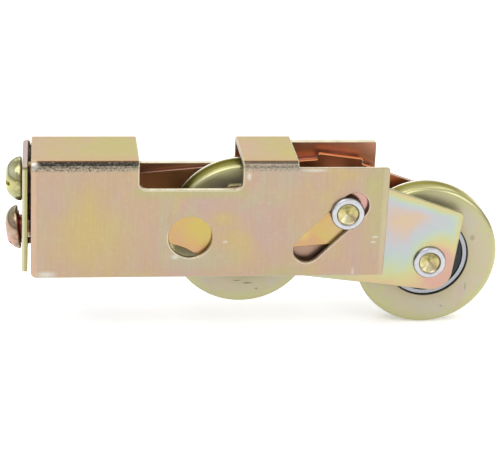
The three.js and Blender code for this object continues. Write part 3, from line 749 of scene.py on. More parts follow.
def zinc_plate():
    g = Nodes("zinc_carriage")
    v = g.mm()
    ax = AXLE["right"] - OFF
    x, y, z = g.xyz(v)
    dx = g.math("SUBTRACT", x, ax.x)
    dz = g.math("SUBTRACT", z, ax.z)
    # film thickness: thin in a patch up towards the pivot, thicker round the axle and along the edges
    fa = g.vmath("LENGTH", g.vmath("DIVIDE", g.vmath("SUBTRACT", v, (ax.x + 2.5, ax.y, ax.z - 2.0)), (8.5, 400.0, 11.0)))
    fa = g.math("SUBTRACT", 1.38, g.math("MULTIPLY", fa, 0.90))
    ft = g.math("SUBTRACT", g.math("SUBTRACT", 15.2, g.math("MULTIPLY", dx, 0.341)), dz)
    ft = g.math("SUBTRACT", 0.66, g.math("MULTIPLY", ft, 0.17))
    fr = g.math("SUBTRACT", g.math("ADD", 6.0, g.math("MULTIPLY", dz, 0.21)), dx)
    fr = g.math("SUBTRACT", 0.80, g.math("MULTIPLY", fr, 0.15))
    fb = g.math("ADD", g.math("ADD", dz, 6.9), g.math("MULTIPLY", dx, 0.1))
    fb = g.math("SUBTRACT", 0.70, g.math("MULTIPLY", fb, 0.085))
    fp = g.vmath("LENGTH", g.vmath("DIVIDE", g.vmath("SUBTRACT", v, (ax.x - 6.8, ax.y, ax.z + 11.4)), (1.0, 400.0, 0.8)))
    fp = g.math("MULTIPLY", fp, 0.036)
    f = fp
    for q in (fa, ft, fr, fb):
        f = g.math("SMOOTH_MAX", f, q, 0.12)
    n1 = g.noise(v, 0.16, 2.0, 0.5, 0.8)
    n2 = g.noise(v, 0.6, 2.0, 0.5, 0.4)
    f = g.math("ADD", f, g.math("MULTIPLY", g.math("SUBTRACT", n1, 0.5), 0.28))
    f = g.math("ADD", f, g.math("MULTIPLY", g.math("SUBTRACT", n2, 0.5), 0.08), clamp=True)
    k = 0.76
    bands = g.ramp(f, [(0.0, tone(214, 186, 156, k)), (0.13, tone(210, 184, 166, k)), (0.26, tone(199, 190, 192, k)), (0.40, tone(188, 194, 196, k)),
                       (0.53, tone(193, 202, 176, k)), (0.66, tone(204, 200, 146, k)), (0.79, tone(214, 192, 142, k)), (0.90, tone(216, 178, 148, k)), (1.0, tone(212, 166, 150, k))], "B_SPLINE")
    inner = film(g, v, 14.0, (2, 3, 4), [(0.0, tone(206, 202, 150)), (0.4, tone(200, 196, 150)), (0.7, tone(196, 204, 170)), (1.0, tone(208, 190, 150))])
    # painted shade: browner round the slot's lower end, on a yellow green film that runs into the bands
    hid = film(g, v, 7.0, (6, 3, 4), [(0.0, srgb(162, 130, 118)), (0.5, srgb(150, 114, 100)), (1.0, srgb(168, 138, 128))])
    cloud = g.math("MULTIPLY", g.math("SUBTRACT", g.noise(v, 0.35, 3.0, 0.6), 0.5), 0.9)
    slot_end_shade = g.math("MULTIPLY", g.step(g.math("ADD", g.blob(v, (68.0, 3, 6.8), (17, 60, 11)), cloud), 0.0, 0.62), g.step(z, -1.6, 1.8))
    slot_end_shade = g.math("MULTIPLY", slot_end_shade, 0.9)
    hid = g.mix(slot_end_shade, inner, hid)
    col = g.mix(g.step(g.math("ADD", x, g.math("MULTIPLY", g.math("SUBTRACT", n1, 0.5), 8.0)), 76, 88, 1.0, 0.0), bands, hid)
    nx, ny, nz = g.xyz(g.geo("Normal"))
    # painted shade: the rear plate's inner face, inside the channel, is a darker orange-brown
    back = g.math("MULTIPLY", g.step(y, 10, 12), g.step(ny, 0.2, -0.2))
    col = g.mix(back, col, srgb(196, 120, 88))
    specks = g.step(g.noise(v, 1.5, 5.0, 0.75), 0.62, 0.72)
    col = g.mix(g.math("MULTIPLY", specks, 0.22), col, tone(232, 226, 212))
    rough = g.lerp(g.noise(v, 0.3, 2.0), 0.26, 0.38)
    return g.shade(col, rough, 1.0, micro(g, v, (2.0, 0.5, 0.6), 0.08))


def zinc_link():
    g = Nodes("zinc_link")
    v = g.mm()
    col = film(g, v, 9.0, (5, 1, 8), [(0.0, srgb(176, 160, 92)), (0.4, srgb(178, 154, 100)), (0.7, srgb(182, 144, 100)), (1.0, srgb(178, 144, 112))], (1, 1, 1), 0.7)
    col = g.mix(g.math("MULTIPLY", g.blob(v, (43.0, 3, 13.0), (9, 9, 6.5)), 0.9), col, srgb(176, 160, 88))
    col = g.mix(g.math("MULTIPLY", g.blob(v, (70.0, 3, 11.0), (2.6, 9, 2.8)), 0.7), col, srgb(190, 172, 100))
    # painted shade: a dark red-brown patch on the link, low in the round hole
    col = g.mix(g.math("MULTIPLY", g.blob(v, (45.6, 3, 6.0), (3.2, 9, 4.4)), 0.85), col, srgb(128, 72, 44))
    x, y, z = g.xyz(v)
    far = g.step(x, 74, 88)
    col = g.mix(g.math("MULTIPLY", far, 0.8), col, srgb(184, 138, 144))
    nx, ny, nz = g.xyz(g.geo("Normal"))
    # painted shade: the rear arm's inner face, inside the channel, is a duller orange-brown
    rear = g.math("MULTIPLY", g.step(y, 15, 17), g.step(ny, 0.3, -0.3))
    col = g.mix(g.math("MULTIPLY", rear, 0.90), col, srgb(178, 132, 96))
    rough = g.lerp(g.noise(v, 0.4, 2.0), 0.15, 0.24)
    rough = g.lerp(rear, rough, 0.38)
    return g.shade(col, rough, 1.0, micro(g, v, (0.4, 0.4, 2.0), 0.07))


def zinc_wheel():
    g = Nodes("zinc_wheel")
    v = g.mm()
    r, h = g.attr("r_mm"), g.attr("h_mm")
    k = 0.76
    col = film(g, v, 9.0, (8, 5, 3), [(0.0, tone(203, 194, 146, k)), (0.35, tone(201, 190, 158, k)), (0.6, tone(208, 186, 158, k)), (0.8, tone(199, 194, 168, k)), (1.0, tone(206, 181, 162, k))], (1, 1, 1), 0.9)
    rim = g.step(g.math("ADD", r, g.math("MULTIPLY", g.math("SUBTRACT", g.noise(v, 0.3, 2.0), 0.5), 3.0)), 15.3, 18.4)
    col = g.mix(g.math("MULTIPLY", rim, 0.65), col, tone(201, 195, 136, k))
    inner = g.step(r, 13.6, 11.4)
    col = g.mix(g.math("MULTIPLY", inner, 0.40), col, tone(200, 182, 144, k))
    # the groove gets a greener film; painted shade makes it darker on the wheel under the housing than on the outboard
    # wheel
    groove = g.math("MULTIPLY", g.band(h, -2.9, 2.9, 0.15), g.step(r, 19.02, 18.6))
    outboard = g.step(g.xyz(v)[0], 60.0, 64.0)
    col = g.mix(g.math("MULTIPLY", groove, 0.75), col, g.mix(outboard, srgb(150, 144, 62), srgb(194, 188, 126)))
    # painted highlights: a pale line along both rim crests and a near-white line along the rear rim's crest
    lip = g.math("MULTIPLY", g.band(g.math("ABSOLUTE", h), 2.78, 3.25, 0.08), g.step(r, 18.5, 18.8))
    col = g.mix(g.math("MULTIPLY", lip, 0.4), col, srgb(206, 200, 150))
    far = g.math("MULTIPLY", g.band(h, 2.72, 3.3, 0.06), g.step(r, 18.55, 18.85))
    col = g.mix(g.math("MULTIPLY", far, 0.85), col, srgb(238, 236, 220))
    bore = g.step(r, 11.42, 11.22)
    col = g.mix(g.math("MULTIPLY", bore, 0.9), col, srgb(58, 56, 48))
    # stains, grit and pencil-thin scratches
    for side in ("left", "right"):
        a = AXLE[side] - OFF
        for (px, pz, rx, rz) in (((-1.0, -12.85, 1.5, 0.20), (1.8, -13.6, 1.8, 0.26), (4.2, -15.2, 0.5, 0.3)) if side == "left" else ((2.0, 11.4, 0.8, 0.5), (12.1, 5.4, 0.9, 1.1), (5.0, -14.3, 0.6, 0.4), (11.2, -8.6, 0.4, 1.6))):
            p = (a.x + px, a.y, a.z + pz)
            d = g.vmath("SUBTRACT", v, p)
            turn = g.vmath("ADD", d, g.vmath("MULTIPLY", g.noise(v, 0.9, 2.0, color=True), (0.0, 0.0, 0.35)))
            m = g.step(g.vmath("LENGTH", g.vmath("DIVIDE", turn, (rx, 400.0, rz))), 0.35, 1.0, 1.0, 0.0)
            col = g.mix(g.math("MULTIPLY", m, 0.75 if side == "left" else 0.35), col, srgb(92, 88, 70))
    spots = g.step(g.voronoi(v, 0.16), 0.085, 0.03)
    col = g.mix(g.math("MULTIPLY", spots, 0.30), col, srgb(140, 128, 92))
    grime = g.step(g.noise(v, 0.9, 5.0, 0.7), 0.56, 0.75)
    col = g.mix(g.math("MULTIPLY", grime, 0.25), col, srgb(150, 138, 100))
    # concentric turning marks
    comb = g.t.nodes.new("ShaderNodeCombineXYZ")
    g.put(comb.inputs[0], g.math("MULTIPLY", r, 6.0))
    g.put(comb.inputs[1], g.math("MULTIPLY", h, 6.0))
    turn = g.noise(comb.outputs[0], 1.0, 3.0, 0.6)
    hgt = g.math("ADD", g.math("MULTIPLY", turn, 0.6), g.math("MULTIPLY", g.noise(v, 0.8, 3.0), 0.6))
    face = g.band(g.math("ABSOLUTE", h), 4.0, 4.3, 0.06)
    rough = g.lerp(turn, 0.24, 0.34)
    rough = g.lerp(face, rough, g.lerp(turn, 0.40, 0.50))
    return g.shade(col, rough, g.lerp(face, 1.0, 0.60), g.bump(hgt, 0.10, 0.00003))


def zinc_screw(name, a, b, c, patches=(), shaft=-0.9):
    g = Nodes(name)
    v = g.mm()
    col = film(g, v, 4.5, (3, 9, 2), [(0.0, a), (0.5, b), (1.0, c)])
    grime = g.step(g.noise(v, 1.4, 4.0, 0.7), 0.56, 0.72)
    col = g.mix(g.math("MULTIPLY", grime, 0.3), col, srgb(120, 92, 66))
    for p, rad, k, tint in patches:
        col = g.mix(g.math("MULTIPLY", g.blob(v, p, rad), k), col, tint)
    r, h = g.attr("r_mm"), g.attr("h_mm")
    # the shank is coloured dark brown behind the flange
    col = g.mix(g.math("MULTIPLY", g.step(g.xyz(v)[0], shaft, shaft + 0.3), 0.85), col, srgb(84, 60, 44))
    rimline = g.math("MULTIPLY", g.step(r, 5.0, 5.6), g.step(g.noise(v, 0.9, 3.0), 0.35, 0.6))
    col = g.mix(g.math("MULTIPLY", rimline, 0.55), col, srgb(96, 92, 70))
    rough = g.lerp(g.noise(v, 1.0, 3.0), 0.15, 0.26)
    return g.shade(col, rough, 1.0, micro(g, v, (1, 1, 1), 0.10, 1.6))


def rivet_steel():
    g = Nodes("rivet_steel")
    v = g.mm()
    r = g.attr("r_mm")
    ring = film(g, v, 2.2, (4, 4, 1), [(0.0, srgb(176, 177, 181)), (0.5, srgb(198, 199, 203)), (1.0, srgb(160, 161, 165))], (1, 1, 1), 0.4)
    cone = film(g, v, 1.8, (1, 6, 2), [(0.0, srgb(178, 170, 104)), (0.5, srgb(206, 196, 142)), (1.0, srgb(150, 140, 84))])
    inside = g.step(r, 2.98, 2.80)
    col = g.mix(inside, ring, cone)
    # painted shade: a dark line in the crease where the ring meets the dimple
    line = g.band(r, 2.72, 2.98, 0.10)
    col = g.mix(g.math("MULTIPLY", line, 0.85), col, srgb(70, 68, 50))
    # painted shade: a grey band round the head's outer edge
    rim = g.step(r, 4.05, 4.4)
    col = g.mix(g.math("MULTIPLY", rim, 0.65), col, srgb(104, 102, 104))
    # painted light and shade in the dimple: dark where its surface faces down, a pale highlight where it faces up,
    # reddish brown on one side; the dimple's point is darker
    nx, ny, nz = g.xyz(g.geo("Normal"))
    ins = g.step(r, 2.9, 2.75)
    wave = g.math("MULTIPLY", g.math("SUBTRACT", g.noise(v, 0.9, 3.0, 0.6), 0.5), 1.1)
    nz, nx = g.math("ADD", nz, wave), g.math("SUBTRACT", nx, wave)
    col = g.mix(g.math("MULTIPLY", g.math("MULTIPLY", g.step(nz, 0.05, -0.75), ins), 0.80), col, srgb(84, 84, 44))
    col = g.mix(g.math("MULTIPLY", g.math("MULTIPLY", g.step(nz, -0.05, 0.70), ins), 0.75), col, srgb(250, 242, 206))
    col = g.mix(g.math("MULTIPLY", g.math("MULTIPLY", g.math("MULTIPLY", g.step(nz, -0.2, 0.4), g.step(nx, 0.1, -0.6)), ins), 0.75), col, srgb(160, 116, 92))
    tip = g.step(r, 0.55, 0.25)
    col = g.mix(g.math("MULTIPLY", tip, 0.5), col, srgb(120, 104, 60))
    rough = g.lerp(ins, g.lerp(g.noise(v, 1.5, 3.0), 0.24, 0.36), 0.28)
    return g.shade(col, rough, 1.0, micro(g, v, (1, 1, 1), 0.14, 1.6))


def plain_steel(name, base, r0=0.25, r1=0.4, tint=None):
    g = Nodes(name)
    v = g.mm()
    r, h = g.attr("r_mm"), g.attr("h_mm")
    comb = g.t.nodes.new("ShaderNodeCombineXYZ")
    g.put(comb.inputs[0], g.math("MULTIPLY", r, 9.0))
    g.put(comb.inputs[1], g.math("MULTIPLY", h, 9.0))
    turn = g.noise(comb.outputs[0], 1.0, 3.0, 0.6)
    patch = g.noise(v, 0.35, 3.0, 0.6)
    col = g.mix(g.math("MULTIPLY", patch, 0.5), base, tint or tuple(c * 0.72 for c in base))
    rough = g.lerp(turn, r0, r1)
    return g.shade(col, rough, 1.0, g.bump(turn, 0.12, 0.00002))


def seal_rubber():
    g = Nodes("seal_rubber")
    v = g.mm()
    n = g.noise(v, 3.0, 4.0, 0.7)
    col = g.mix(n, srgb(24, 24, 28), srgb(46, 46, 52))
    dust = g.step(g.noise(v, 1.1, 5.0, 0.7), 0.6, 0.8)
    col = g.mix(g.math("MULTIPLY", dust, 0.25), col, srgb(96, 94, 90))
    return g.shade(col, g.lerp(n, 0.42, 0.6), 0.0, g.bump(n, 0.25, 0.00003), spec=0.5)


def cage_nylon():
    g = Nodes("cage_nylon")
    v = g.mm()
    n = g.noise(v, 1.2, 4.0, 0.6)
    col = g.mix(n, srgb(150, 118, 74), srgb(188, 152, 104))
    return g.shade(col, g.lerp(n, 0.4, 0.55), 0.0, g.bump(n, 0.2, 0.00003))


def ball_steel():
    g = Nodes("ball_steel")
    v = g.mm()
    n = g.noise(v, 2.0, 3.0, 0.6)
    col = g.mix(n, srgb(206, 208, 212), srgb(226, 228, 232))
    return g.shade(col, g.lerp(n, 0.05, 0.12), 1.0, g.bump(n, 0.03, 0.00001))


M = {
    "housing": zinc_housing(),
    "cut": zinc_cut_housing(),
    "cut_link": zinc_cut_link(),
    "cut_plate": zinc_cut_plate(),
    "plate": zinc_plate(),
    "link": zinc_link(),
    "wheel": zinc_wheel(),
    # screw_a: a yellow patch low on the head, and a painted highlight: a near-white patch above its middle
    "screw_a": zinc_screw("zinc_screw_olive", srgb(180, 176, 126), srgb(158, 160, 118), srgb(188, 178, 120), [((-6.5, MSCREW.translation.y - OFF.y - 2, MSCREW.translation.z - OFF.z - 0.6), (3.5, 6, 1.8), 0.8, srgb(204, 196, 112)), ((-5.0, MSCREW.translation.y - OFF.y - 2, MSCREW.translation.z - OFF.z + 3.0), (3.0, 9, 2.0), 0.6, srgb(228, 228, 200))]),
    "screw_b": zinc_screw("zinc_screw_pink", srgb(186, 146, 136), srgb(160, 138, 110), srgb(186, 160, 150), [((-5.4, SCR.y - OFF.y, SCR.z - OFF.z + 4.6), (5.0, 9, 3.2), 0.8, srgb(150, 144, 108)), ((-6.3, SCR.y - OFF.y - 3, SCR.z - OFF.z - 3.0), (2.4, 6, 2.6), 0.7, srgb(214, 130, 126)), ((-3.0, SCR.y - OFF.y - 3, SCR.z - OFF.z + 1.0), (1.6, 9, 4.0), 0.7, srgb(206, 108, 92))]),
    "rivet": rivet_steel(),
    "washer": plain_steel("washer_dark", srgb(134, 72, 58), 0.3, 0.45, srgb(88, 44, 38)),
    "steel": plain_steel("spacer_steel", srgb(206, 208, 212)),
    "ring": plain_steel("bearing_ring_steel", srgb(158, 160, 165), 0.18, 0.30),
    "dark": plain_steel("ring_black_oxide", srgb(84, 74, 66), 0.3, 0.45),
    "seal": seal_rubber(),
    "cage": cage_nylon(),
    "ball": ball_steel(),
}


def piece(mesh, name, mat, body, node, matrix=None):
    o = mesh.build(name, matrix) if isinstance(mesh, Mesh) else mesh
    for k in (mat if isinstance(mat, tuple) else (mat,)):
        o.data.materials.append(M[k])
    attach(o, body)
    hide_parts(node)
    return o


# ------------------------------------------------------------------ housing
R = 1.9
ARC = R * math.pi / 2
S1 = HEIGHT - R
S2 = S1 + ARC
S3 = S2 + WIDTH - 2 * R
S4 = S3 + ARC
S5 = S4 + S1
BX = -0.3                      # the flange's bend starts here
FREE = BX - ARC - (WIDTH - R - 1.0)
LEAN = 0.0141
FLANGE_TOP = FLANGE_Z


def house_fold(u, v, t, n):
    ex = Vector((1, 0, 0))
    if u < BX - 1e-9 and v > S4 - 1.3:
        z = S1 - (v - S4)
        a = BX - u
        if a < ARC:
            th = a / R
            c, s = math.cos(th), math.sin(th)
            p = Vector((BX - (R - t) * s, WIDTH - R + (R - t) * c, z))
            eu, ev, et = Vector((c, s, 0)), Vector((0, 0, -1)), Vector((s, -c, 0))
        else:
            p = Vector((BX - R + t, WIDTH - R - (a - ARC), z))
            eu, ev, et = Vector((0, 1, 0)), Vector((0, 0, -1)), Vector((1, 0, 0))
        # the flange stands slightly open towards its lower end
        p.x -= LEAN * (FLANGE_TOP - z) * min(1.0, a / ARC)
    else:
        eu = ex
        if v <= S1:
            p, ev, et = Vector((u, t, v)), Vector((0, 0, 1)), Vector((0, 1, 0))
        elif v < S2:
            th = (v - S1) / R
            c, s = math.cos(th), math.sin(th)
            p = Vector((u, R - (R - t) * c, S1 + (R - t) * s))
            ev, et = Vector((0, s, c)), Vector((0, c, -s))
        elif v <= S3:
            p, ev, et = Vector((u, R + v - S2, HEIGHT - t)), Vector((0, 1, 0)), Vector((0, 0, -1))
        elif v < S4:
            th = (v - S3) / R
            c, s = math.cos(th), math.sin(th)
            p = Vector((u, WIDTH - R + (R - t) * s, S1 + (R - t) * c))
            ev, et = Vector((0, c, -s)), Vector((0, -s, -c))
        else:
            p, ev, et = Vector((u, WIDTH - t, S1 - (v - S4))), Vector((0, 0, -1)), Vector((0, -1, 0))
    return p + OFF, eu * n[0] + ev * n[1] + et * n[2]


SLOT_C = [(PIV.x - OFF.x) + k * math.sqrt(0.5) for k in (-14.35, 2.72)]
SLOT_Z = [(PIV.z - OFF.z) + k * math.sqrt(0.5) for k in (-14.35, 2.72)]
WTOP = 30.0
outer = loop2d([
    (-0.38, 0, 1.5), (LENGTH + 0.15, 0, 0.6), (LENGTH + 0.42, WTOP, 1.1), (68.0, WTOP, 0.25, 3), (68.0, S5 - WTOP, 0.25, 3),
    (LENGTH + 0.42, S5 - WTOP, 1.1), (LENGTH + 0.15, S5, 0.6), (0, S5, 0.6), (0, S5 - 1.15, 0.3, 3), (FREE, S5 - 1.15, 1.0),
    (FREE, S5 - FLANGE_TOP, 1.0), (BX - 0.3, S5 - FLANGE_TOP, 0.3, 3), (BX - 0.3, S4 + 0.35), (0, S4 + 0.35), (0, S1),
])
window = loop2d([(27.3, 24.0, 1.9), (53.6, 24.0, 1.9), (53.6, S5 - 24.0, 1.9), (27.3, S5 - 24.0, 1.9)], ccw=False)
loops = [outer, window, circle2d(40.5, 11.0, 5.65, 72), circle2d(40.5, S5 - 11.0, 5.65, 72),
         slot2d(SLOT_C[0], SLOT_Z[0], SLOT_C[1], SLOT_Z[1], 3.6), slot2d(SLOT_C[0], S5 - SLOT_Z[0], SLOT_C[1], S5 - SLOT_Z[1], 3.6)]


def flange_u(y):
    return BX - ARC - (WIDTH - R - y)


loops.append(circle2d(flange_u(MIDY), S5 - (MSCREW.translation.z - OFF.z), 3.1, 48))
loops.append(circle2d(flange_u(MIDY), S5 - (SCR.z - OFF.z), 3.25, 48))
BEND_STEPS = 10
cv = [S1 + ARC * k / BEND_STEPS for k in range(BEND_STEPS + 1)] + [S3 + ARC * k / BEND_STEPS for k in range(BEND_STEPS + 1)]
cu = [BX - ARC * k / BEND_STEPS for k in range(BEND_STEPS + 1)]
hm = Mesh()
sheet(hm, loops, 0.0, SHEET, 0.24, house_fold, cu, cv, wall_mat=1)
# extruded collar that takes the mounting screw
collar = Mesh()


def thread_radius(x, a, pitch, root, crest):
    ph = (x / pitch - a / (2 * math.pi)) % 1.0
    k = 1 - abs(2 * ph - 1)
    k = min(1.0, max(0.0, (k - 0.08) / 0.80))
    return root + (crest - root) * k


lathe(collar, loop2d([(3.1, -0.9), (4.4, -0.9), (4.4, 1.3, 0.3), (3.1, 1.3, 0.15)]), 48, "X")
for f, ns in zip(collar.f, collar.n):
    hm.face([collar.v[i] + place(0, MIDY, MSCREW.translation.z - OFF.z) for i in f], ns)
piece(hm, "housing_shell_formed", ("housing", "cut"), "housing", "housing_shell")


# ------------------------------------------------------------------ carriage plates
def plate_fold(y0):
    def f(u, v, t, n):
        return Vector((u, y0 + t, v)), Vector((n[0], n[2], n[1]))
    return f


PL = 31.6
plate_loop = [(-PL, -20.07, 5.2, 14), (PL, -19.75, 5.4, 14), (PL, 2.45, 1.2, 6), (5.45, 7.85, 0.3, 3), (5.45, 9.3, 0.5, 4),
              (-6.75, 9.3, 0.5, 4), (-6.75, 7.55, 0.3, 3), (-PL, 2.45, 1.2, 6)]
box_f = [v * 1000 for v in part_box("carriage_plate_front")]
box_r = [v * 1000 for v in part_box("carriage_plate_rear")]
for side, bx in (("front", box_f), ("rear", box_r)):
    m = Mesh()
    y0 = bx[0].y - PIV.y
    lp = [loop2d(plate_loop)] + [circle2d(u, w, 3.6, 48) for u, w in ((0, 0), (-24.95, -11.95), (24.95, -11.95))]
    sheet(m, lp, y0, y0 + SHEET, 0.18, lambda u, v, t, n: (Vector((u, t, v)), Vector((n[0], n[2], n[1]))), wall_mat=1)
    piece(m, "carriage_plate_%s_stamped" % side, ("plate", "cut_plate"), "carriage", "carriage_plate_" + side, CARRIAGE)

# ------------------------------------------------------------------ draw link
LE, LR, LT, LY = -67.4, 1.7, 1.2, 1.65
LARC = LR * math.pi / 2
LX = LE + LR
LWEB = WIDTH - 2 * LY - 2 * LR


def link_fold(u, v, t, n):
    """u runs back along the front arm, across the end web and out along the rear arm; v is the height."""
    if u <= 0:
        p, eu, et = Vector((LX - u, LY + t, v)), Vector((-1, 0, 0)), Vector((0, 1, 0))
    elif u < LARC:
        th = u / LR
        c, s = math.cos(th), math.sin(th)
        p = Vector((LX - (LR - t) * s, LY + LR - (LR - t) * c, v))
        eu, et = Vector((-c, s, 0)), Vector((s, c, 0))
    elif u <= LARC + LWEB:
        p, eu, et = Vector((LE + t, LY + LR + u - LARC, v)), Vector((0, 1, 0)), Vector((1, 0, 0))
    elif u < 2 * LARC + LWEB:
        th = (u - LARC - LWEB) / LR
        c, s = math.cos(th), math.sin(th)
        p = Vector((LX - (LR - t) * c, WIDTH - LY - LR + (LR - t) * s, v))
        eu, et = Vector((s, c, 0)), Vector((c, -s, 0))
    else:
        p, eu, et = Vector((LX + u - 2 * LARC - LWEB, WIDTH - LY - t, v)), Vector((1, 0, 0)), Vector((0, -1, 0))
    p.y -= MIDY
    return p, eu * n[0] + Vector((0, 0, 1)) * n[1] + et * n[2]


H = 8.85


def arm(fx):
    """One arm's outline from the web outwards: lower edge, round the pin, upper edge back; fx maps x to u."""
    pts = [(fx(LX), -4.6), (fx(-48.5), -4.6)]
    lower = [(-46.3, -4.85), (-44.0, -5.6), (-42.2, -6.5), (-40.6, -7.7), (-39.2, -8.55), (-37.5, -H), (-32.5, -H)]
    pts += [(fx(a), b) for a, b in lower]
    arch = []
    for k in range(25):
        t = math.pi - math.pi * k / 24
        arch.append((-25.9 + 6.6 * math.copysign(abs(math.cos(t)) ** 0.75, math.cos(t)), -6.6 + 6.3 * math.sin(t) ** 0.75))
    pts += [(fx(a), b) for a, b in arch]
    pts += [(fx(-19.3), -H)]
    for k in range(25):
        t = -math.pi / 2 + math.pi * k / 24
        pts.append((fx(H * math.cos(t)), H * math.sin(t)))
    pts += [(fx(-60.5), H), (fx(-63.5), H - 1.6), (fx(LX), H - 1.6)]
    return pts


front_arm = arm(lambda x: LX - x)
rear_arm = arm(lambda x: 2 * LARC + LWEB + x - LX)
# the blank: down the front arm's lower edge and back along its upper edge, then the rear arm the other way
blank = front_arm + rear_arm[::-1]
hole_u = [LX - 0.0, 2 * LARC + LWEB - LX]
lk = Mesh()
lcuts = [LARC * k / 8 for k in range(9)] + [LARC + LWEB + LARC * k / 8 for k in range(9)]
sheet(lk, [smooth_loop(blank), circle2d(hole_u[0], 0, 3.6, 48), circle2d(hole_u[1], 0, 3.6, 48),
           circle2d(LARC + LWEB / 2, 0, 3.3, 48)], 0.0, LT, 0.16, link_fold, lcuts, (), wall_mat=1)
lcol = Mesh()
lathe(lcol, loop2d([(3.3, LE + 0.3), (4.4, LE + 0.3), (4.4, LE + 3.6, 0.35), (3.3, LE + 3.6, 0.15)]), 48, "X")
for f, ns in zip(lcol.f, lcol.n):
    lk.face([lcol.v[i] for i in f], ns)
piece(lk, "draw_link_folded", ("link", "cut_link"), "link", "draw_link", LINK)


# ------------------------------------------------------------------ pins with rolled ends
def rolled_end(out, seat, rh=4.4, rc=2.95, shank=3.45):
    """Outline of one rolled rivet head, from the axis to the shank: conical dimple, rolled ring, underside."""
    pts = [(0.0, out - 1.6, 0.25, 3), (rc - 0.36, out - 0.50, 0.15, 4), (rc - 0.05, out - 0.06, 0.15, 5)]
    pts += [(rc + 0.35, out + 0.02, 0.3, 5), (rh - 0.35, out - 0.04, 0.35, 6), (rh, out - 0.55, 0.3, 5), (rh - 0.12, seat, 0.1, 3), (shank, seat)]
    return pts


def pin(name, out, seat, body, matrix, shoulder=None):
    top = rolled_end(out, seat)
    low = [(p[0], -p[1]) + tuple(p[2:]) for p in rolled_end(out, seat)]
    mid = []
    if shoulder:
        r, s = shoulder
        mid = [(3.45, s), (r, s, 0.25, 4), (r, -s, 0.25, 4), (3.45, -s)]
    corners = [(0.0, out - 1.6)] + list(top[1:]) + mid + list(low[1:])[::-1] + [(0.0, -(out - 1.6))]
    m = Mesh()
    lathe(m, loop2d(corners), 96, "Y")
    return piece(m, name + "_riveted", "rivet", body, name, matrix)


pp = [v * 1000 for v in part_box("pivot_pin")]
pin("pivot_pin", pp[1].y - PIV.y, MIDY + 0.1, "pin", Matrix.Translation(PIV))
inner_gap = box_r[0].y - PIV.y
for side in ("left", "right"):
    b = [v * 1000 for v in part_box(side + "_axle")]
    pin(side + "_axle", b[1].y - PIV.y, box_r[1].y - PIV.y + 0.05, "carriage", Matrix.Translation(AXLE[side]), (3.95, inner_gap - 0.05))

# ------------------------------------------------------------------ spacers
m = Mesh()
lathe(m, loop2d([(3.6, -inner_gap + 0.1, 0.2, 3), (5.0, -inner_gap + 0.1, 0.3, 4), (5.0, inner_gap - 0.1, 0.3, 4), (3.6, inner_gap - 0.1, 0.2, 3)]), 72)
piece(m, "pivot_spacer_tube_cut", "steel", "carriage", "pivot_spacer_tube", CARRIAGE)
for side in ("left", "right"):
    for s, word in ((-1, "front"), (1, "rear")):
        a, b = sorted((s * 3.56, s * (inner_gap - 0.08)))
        m = Mesh()
        lathe(m, loop2d([(4.05, a, 0.15, 3), (5.5, a, 0.3, 4), (5.5, b, 0.3, 4), (4.05, b, 0.15, 3)]), 72)
        piece(m, "%s_axle_spacer_%s_turned" % (side, word), "steel", "carriage", "%s_axle_spacer_%s" % (side, word), Matrix.Translation(AXLE[side]))

# ------------------------------------------------------------------ wheels and bearings
WR, WH = 19.05, 4.1


def wheel_nodes():
    """Flat faces, rounded rims and a round-bottomed groove of 2.8 mm radius."""
    c = [(11.06, -WH, 0.35, 4), (WR - 0.02, -WH, 0.75, 8)]
    pts = [(11.06 + 0.35, -WH)]
    half = [(18.3, WH), ]
    # rim: face corner radius 0.75, crest, then into the groove
    out = []
    for k in range(9):
        t = math.pi / 2 * k / 8
        out.append((WR - 1.5 + 1.5 * math.sin(t), WH - 1.05 + 1.05 * math.cos(t)))
    out.append((WR, 3.02))
    for k in range(1, 5):
        t = math.pi / 2 * k / 4 * 0.8
        out.append((WR - 0.2 + 0.2 * math.cos(t), 3.02 - 0.2 * math.sin(t)))
    gr = 2.8
    a0 = math.asin(1.0)
    for k in range(25):
        t = math.radians(88) - math.radians(88) * k / 24
        out.append((18.75 - gr * math.cos(t), gr * math.sin(t)))
    top = [(11.06, WH - 0.3), (11.15, WH - 0.09), (11.36, WH)] + out
    lower = [(r, -h) for r, h in top[::-1] if h > 1e-6]
    return smooth_loop(top + lower, True, 50)


